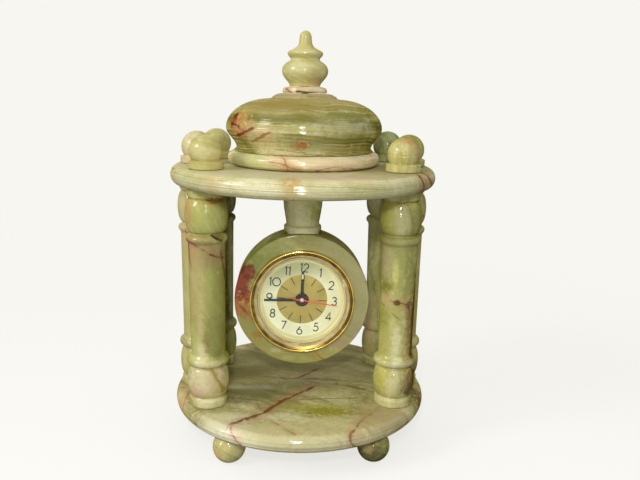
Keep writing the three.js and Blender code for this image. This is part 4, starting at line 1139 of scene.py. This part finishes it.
def hands(slotted, black, red, steel, brass):
    """The three hands, set at the time in the photograph, over their arbors."""
    thick = 0.4
    for name, stuff, reach, tip, root, boss, hole, back, turn in (
        ("hour_hand", slotted, 19.8, 0.85, 1.1, 4.6, 1.5, 2.2, 1.0),
        ("minute_hand", black, 25.5, 0.75, 0.95, 3.4, 0.7, 1.4, 270.0),
    ):
        mesh = plate_mesh(name + "_baton", hand_outline(reach, tip, root, boss), thick, back, turn, 0.09)
        made = linked(name + "_baton", mesh, name, [name])
        cut(made, stuff, rod_tool(hole, back - 2, back + 2, DIAL_PLACE, 32, on_dial=True), finish=hand_shading)
    outline = hand_outline(24.6, 0.2, 0.42, 1.6, 6.2, 0.45)
    made = linked("second_hand_needle", plate_mesh("second_hand_needle", outline, thick, 0.7, 99.5, 0.06),
                  "second_hand", ["second_hand"])
    dress(made, red)
    hand_shading(made)
    cap_back, end = 0.2, 6.9
    profile = [*softened([(0, cap_back - 0.55), (0.8, cap_back - 0.5), (1.5, cap_back - 0.15), (1.5, cap_back),
                          (0.4, cap_back), (0.4, end)], 0.25, 4), (0, end)]
    on_dial("second_cap_steel", profile, SMALL, steel, "steel", ["second_cap"], "second_hand")
    for node in ("hour_tube", "minute_arbor"):
        dress(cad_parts[node], brass)


def slotted_black(name):
    """Black lacquer with a pale slot toward the tip of the hour hand, which leans one degree at rest."""
    g = Graph(name)
    lean = 0.0175
    place = g.millimetres()
    away, parts = from_dial_axis(g, place)
    along = g.times(g.rise(away, 14.3, 14.6), g.rise(away, 17.8, 17.5))
    along = g.times(along, g.rise(parts[2], 8, 9))
    aside = g.math("ABSOLUTE", g.minus(parts[0], g.times(parts[2], lean)))
    slot = g.times(along, g.rise(aside, 0.62, 0.5))
    fine = g.noise(place, 0.5, 3, 0.6)[0]
    base = g.mix(g.rise(fine, 0.4, 0.7), colour("10100e"), colour("1a1a16"))
    base = g.mix(slot, base, colour("c9c08c"))
    return g.coat(base, fine, 0.22, 0.12, 0.004, 0.6)


def movement(case_stuff, rubber, steel):
    """What shows through the drum from behind: the case, its cell cover and the setting knob."""
    outer, front, back = INSERT_R, 3.9, 20.5
    profile = softened([(0, front), (outer, front, 0.4), (outer, back - 1.4, 0.2),
                        (outer - 0.6, back - 1.2, 0.2), (outer - 0.6, back, 0.6), (0, back)], 0.4, 5)
    case = on_dial("movement_case_moulding", profile, INSERT_SIDES, case_stuff, "case_black", ["movement_case"])
    cell_place = DIAL_PLACE - Vector((0, 0, CELL_DROP))
    tools = [rod_tool(radius, start, end, place, COARSE, on_dial=True) for radius, start, end, place in (
        (7.6, back - 1.6, back + 2, cell_place), (6.1, back - 7.6, back + 2, cell_place),
        (1.6, front - 1, back + 2, DIAL_PLACE), (2.3, front - 1, front + 3.3, DIAL_PLACE))]
    cut(case, case_stuff, *tools, finish=faceted)

    cover_r = 7.3
    profile = softened([(0, back - 1.3), (cover_r, back - 1.3, 0.15), (cover_r, back, 0.4), (0, back)], 0.3, 4)
    cover = turned("battery_cover_moulding", profile, cell_place, MEDIUM, case_stuff, "battery_cover",
                   "case_black", ["battery_cover"], on_dial=True)
    coin_slot = [(x, z - CELL_DROP) for x, z in ((-4, -0.6), (4, -0.6), (4, 0.6), (-4, 0.6))]
    cut(cover, case_stuff, in_scene("tool", plate_mesh("tool", coin_slot, 1.0, back + 0.5)), finish=faceted)

    def ridged(radius, height, angle):
        """Sixteen ridges round the head of the knob, and none on its shaft."""
        return radius - (0.35 * (0.5 + 0.5 * math.cos(16 * angle)) if radius > 4.9 else 0)

    face, knob_r, shaft = back + 0.3, 5.5, 1.3
    profile = softened([(0, 17.8), (shaft, 17.8, 0.1), (shaft, face, 0.1), (knob_r - 0.5, face, 0.1),
                        (knob_r, face + 0.5, 0.2), (knob_r, face + 2.5, 0.4), (knob_r - 0.6, face + 3, 0.2),
                        (0, face + 3)], 0.2, 3)
    on_dial("set_knob_moulding", profile, VERY_FINE, case_stuff, "case_black", ["set_knob"], "set_knob",
            ripple=ridged)
    profile = softened(section(30.0, 30.85, 8.3, 14.3), 0.2, 3, closed=True)
    on_dial("seating_ring_rubber", profile, INSERT_SIDES, rubber, "rubber", ["seating_ring"], closed=True)
    dress(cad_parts["battery"], steel)


def rods_and_nuts(steel):
    for side in SIDES_OF_CLOCK:
        dress(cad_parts["tie_rod_" + side], steel)
        node = "rod_nut_" + side
        height = height_of(node)

        def hexagon(radius, level, angle):
            """Six flats, with the corners chamfered at both ends."""
            flat = NUT_HALF_FLATS / math.cos((angle + math.pi / 6) % (math.pi / 3) - math.pi / 6)
            chamfer = NUT_HALF_FLATS + 0.12 + min(level, height - level) * 1.6
            return radius if radius < 3 else min(flat, chamfer)

        levels = [0, 0.15, 0.3, 0.5, height - 0.5, height - 0.3, height - 0.15, height]
        profile = [(TIE_ROD_HOLE_R, height), (TIE_ROD_HOLE_R, 0), *[(4.0, level) for level in levels]]
        turned(node + "_hex", profile, middle(node), MODERATE, steel, "clock_frame", "steel", [node], 20,
               closed=True, ripple=hexagon)
    dress(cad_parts["centre_rod"], steel)


def dial_paint(name):
    """Off-white paint with a faint mottle, painted shade that darkens its upper part towards olive, a darker
    olive tone towards the right, and a pale olive track round its edge.
    """
    g = Graph(name)
    place = g.millimetres()
    away, parts = from_dial_axis(g, place)
    mottle = g.noise(place, 14, 4, 0.55)[0]
    fine = g.noise(place, 0.4, 2, 0.5)[0]
    base = g.mix(g.rise(mottle, 0.4, 0.7), colour("d8d5b8"), colour("ccc8a4"))
    # Painted shade: the dial darkens towards olive up its upper part, more on the left, for the shadow of the
    # bezel and the stone above it
    shade_slant = g.minus(parts[2], g.times(parts[0], 0.25))
    base = g.mix(g.rise(shade_slant, 4, 24, 0.0, 0.9), base, colour("8c8a5c"))
    base = g.mix(g.rise(parts[0], 4, 25, 0.0, 0.4), base, colour("a89c64"))
    base = g.mix(g.rise(away, 25.9, 26.4, 0.0, 0.75), base, colour("bcb078"))
    return g.coat(base, fine, 0.45, 0.15, 0.006, 0.4)


def reflector_paint(name):
    """The sloping ring round the dial: a bright inner edge, and a greyish gold slope beyond it."""
    g = Graph(name)
    place = g.millimetres()
    away = from_dial_axis(g, place)[0]
    fine = g.noise(place, 0.35, 2, 0.5)[0]
    base = g.mix(g.rise(away, 27.9, 28.5), colour("e6deb4"), colour("c8b684"))
    base = g.mix(g.rise(fine, 0.4, 0.7, 0.0, 0.2), base, colour("a08c5c"))
    return g.coat(base, fine, 0.3, 0.15, 0.006, 0.5, Metallic=0.25)


def satin_gold(name, tint, dark, metallic):
    """The printed gold of the dial's centre."""
    g = Graph(name)
    place = g.millimetres()
    fine = g.noise(place, 0.35, 2, 0.5)[0]
    wide = g.noise(place, 10, 3, 0.5)[0]
    base = g.mix(g.rise(wide, 0.35, 0.7), colour(tint), colour(dark))
    return g.coat(base, fine, 0.32, 0.15, 0.006, 0.5, Metallic=metallic)


def insert_pieces():
    steel = metal("zinc_steel", "b4b5b4", "8c8d8c", 0.28, 0.5)
    brass = metal("turned_brass", "d2b566", "a8893c", 0.22, 0.5)
    case_stuff = plastic("moulded_case", "1f1f1e", 0.42)
    ink = plastic("dial_ink", "161612", 0.5, 0.005, "20201a")
    line_ink = plastic("dial_line_ink", "2c220e", 0.5, 0.005, "3a2c14")
    black = plastic("hand_lacquer", "10100e", 0.24, 0.004, "1a1a16")
    slotted = slotted_black("hour_hand_lacquer")
    red = plastic("red_lacquer", "d23a1e", 0.3, 0.004, "be3018")
    rubber = plastic("black_rubber", "282828", 0.7, 0.05)
    cap = metal("bright_cap", "d8b4a6", "a87e70", 0.12, 0.3)
    bezel_and_lens(gilt("bezel_gilt"))
    reflector(reflector_paint("reflector_gilt"))
    dial_plate(dial_paint("dial_paint"))
    centre_disc(satin_gold("centre_gilt", "a4904c", "94823e", 0.4))
    dial_print(ink, line_ink)
    hands(slotted, black, red, cap, brass)
    movement(case_stuff, rubber, steel)
    rods_and_nuts(steel)


# Floor, light and camera

# Camera, in metres and degrees, with its lens in millimetres
CAMERA_PLACE = (-0.01283, -0.45649, 0.22896)
CAMERA_HEADING = 3.11
CAMERA_DOWN = 12.13
CAMERA_ROLL = 1.24
CAMERA_LENS = 38.65

# The background's colour, the floor's tone and how brightly it is lit, and the strength of the soft light
PALE = "f7f6f1"
FLOOR_TONE = 0.24
FLOOR_LIT = 0.92
FILL_HIGH = 0.55
FILL_LOW = 0.13
FILL_BEHIND = 0.45
FILL_RIGHT = 0.15


def seen_share(g):
    """One for rays that look at the background, directly, in a reflection or through glass."""
    path = g.node("ShaderNodeLightPath", {}).outputs
    seen = g.math("MAXIMUM", path["Is Camera Ray"], path["Is Glossy Ray"])
    return g.math("MAXIMUM", seen, path["Is Transmission Ray"])


def pale_floor():
    """Takes the clock's shadow near it, and far from it goes over into the background."""
    g = Graph("pale_floor")
    seen = seen_share(g)
    lit = g.node("ShaderNodeBsdfDiffuse", {"Color": (FLOOR_TONE, FLOOR_TONE, FLOOR_TONE, 1)})
    level = 1 - FLOOR_TONE * FLOOR_LIT
    glow = g.node("ShaderNodeEmission", {"Color": colour(PALE), "Strength": g.times(seen, level)})
    near = g.node("ShaderNodeAddShader", {0: lit.outputs[0], 1: glow.outputs[0]})
    far = g.node("ShaderNodeEmission", {"Color": colour(PALE), "Strength": seen})
    away = g.vector("LENGTH", g.millimetres())
    return g.shared(g.rise(away, 160, 620), near, far)


def studio_world():
    """A pale background, and a soft light that comes mostly from above."""
    g = Graph("studio", "worlds")
    way = g.split(g.node("ShaderNodeTexCoord", {}).outputs["Generated"])
    level = g.plus(g.rise(way[2], 0.0, 0.85, FILL_LOW, FILL_HIGH), g.rise(way[1], 0.1, 0.95, 0.0, FILL_BEHIND))
    level = g.plus(level, g.rise(way[0], 0.3, 1.0, 0.0, FILL_RIGHT))
    fill = g.node("ShaderNodeBackground", {"Color": (1.0, 0.99, 0.96, 1), "Strength": level})
    pale = g.node("ShaderNodeBackground", {"Color": colour(PALE), "Strength": 1.0})
    return g.shared(seen_share(g), fill, pale)


def stage():
    floor = in_scene("floor", turned_mesh("floor", [(0, -0.05), (9000, -0.05)], ORIGIN, 96))
    dress(floor, pale_floor())
    bpy.context.scene.world = studio_world()


def lamp(name, place, power, width, height=None, tint=(1, 1, 1), target=(0, 0, 0.13)):
    """An area lamp that faces a point of the clock. Places are in metres and the power in watts."""
    light = bpy.data.lights.new(name, "AREA")
    light.energy = power
    light.color = tint
    light.shape = "RECTANGLE" if height else "DISK"
    light.size = width
    if height:
        light.size_y = height
    made = in_scene(name, light)
    made.location = place
    made.rotation_euler = (Vector(target) - Vector(place)).to_track_quat("-Z", "Y").to_euler()


def lights_and_camera():
    lamp("softbox_left", (-1.61, -0.71, 1.09), 18, 0.55, 0.9, (1.0, 0.985, 0.95))
    lamp("front_lamp", (-0.045, -0.53, 0.385), 1.15, 0.06)
    lamp("low_lamp", (-0.035, -0.62, 0.205), 0.75, 0.05)
    lamp("softbox_right", (1.5, 0.35, 0.9), 1.5, 0.6, 0.9)

    camera = bpy.data.cameras.new("camera")
    camera.sensor_width = 36
    camera.lens = CAMERA_LENS
    made = in_scene("camera", camera)
    heading = Matrix.Rotation(-math.radians(CAMERA_HEADING), 4, "Z")
    pitch = Matrix.Rotation(math.radians(90 - CAMERA_DOWN), 4, "X")
    roll = Matrix.Rotation(math.radians(CAMERA_ROLL), 4, "Z")
    made.matrix_world = Matrix.Translation(CAMERA_PLACE) @ heading @ pitch @ roll
    bpy.context.scene.camera = made
    bpy.context.scene.view_settings.view_transform = "Standard"


lights_and_camera()
stage()
stone_pieces()
insert_pieces()
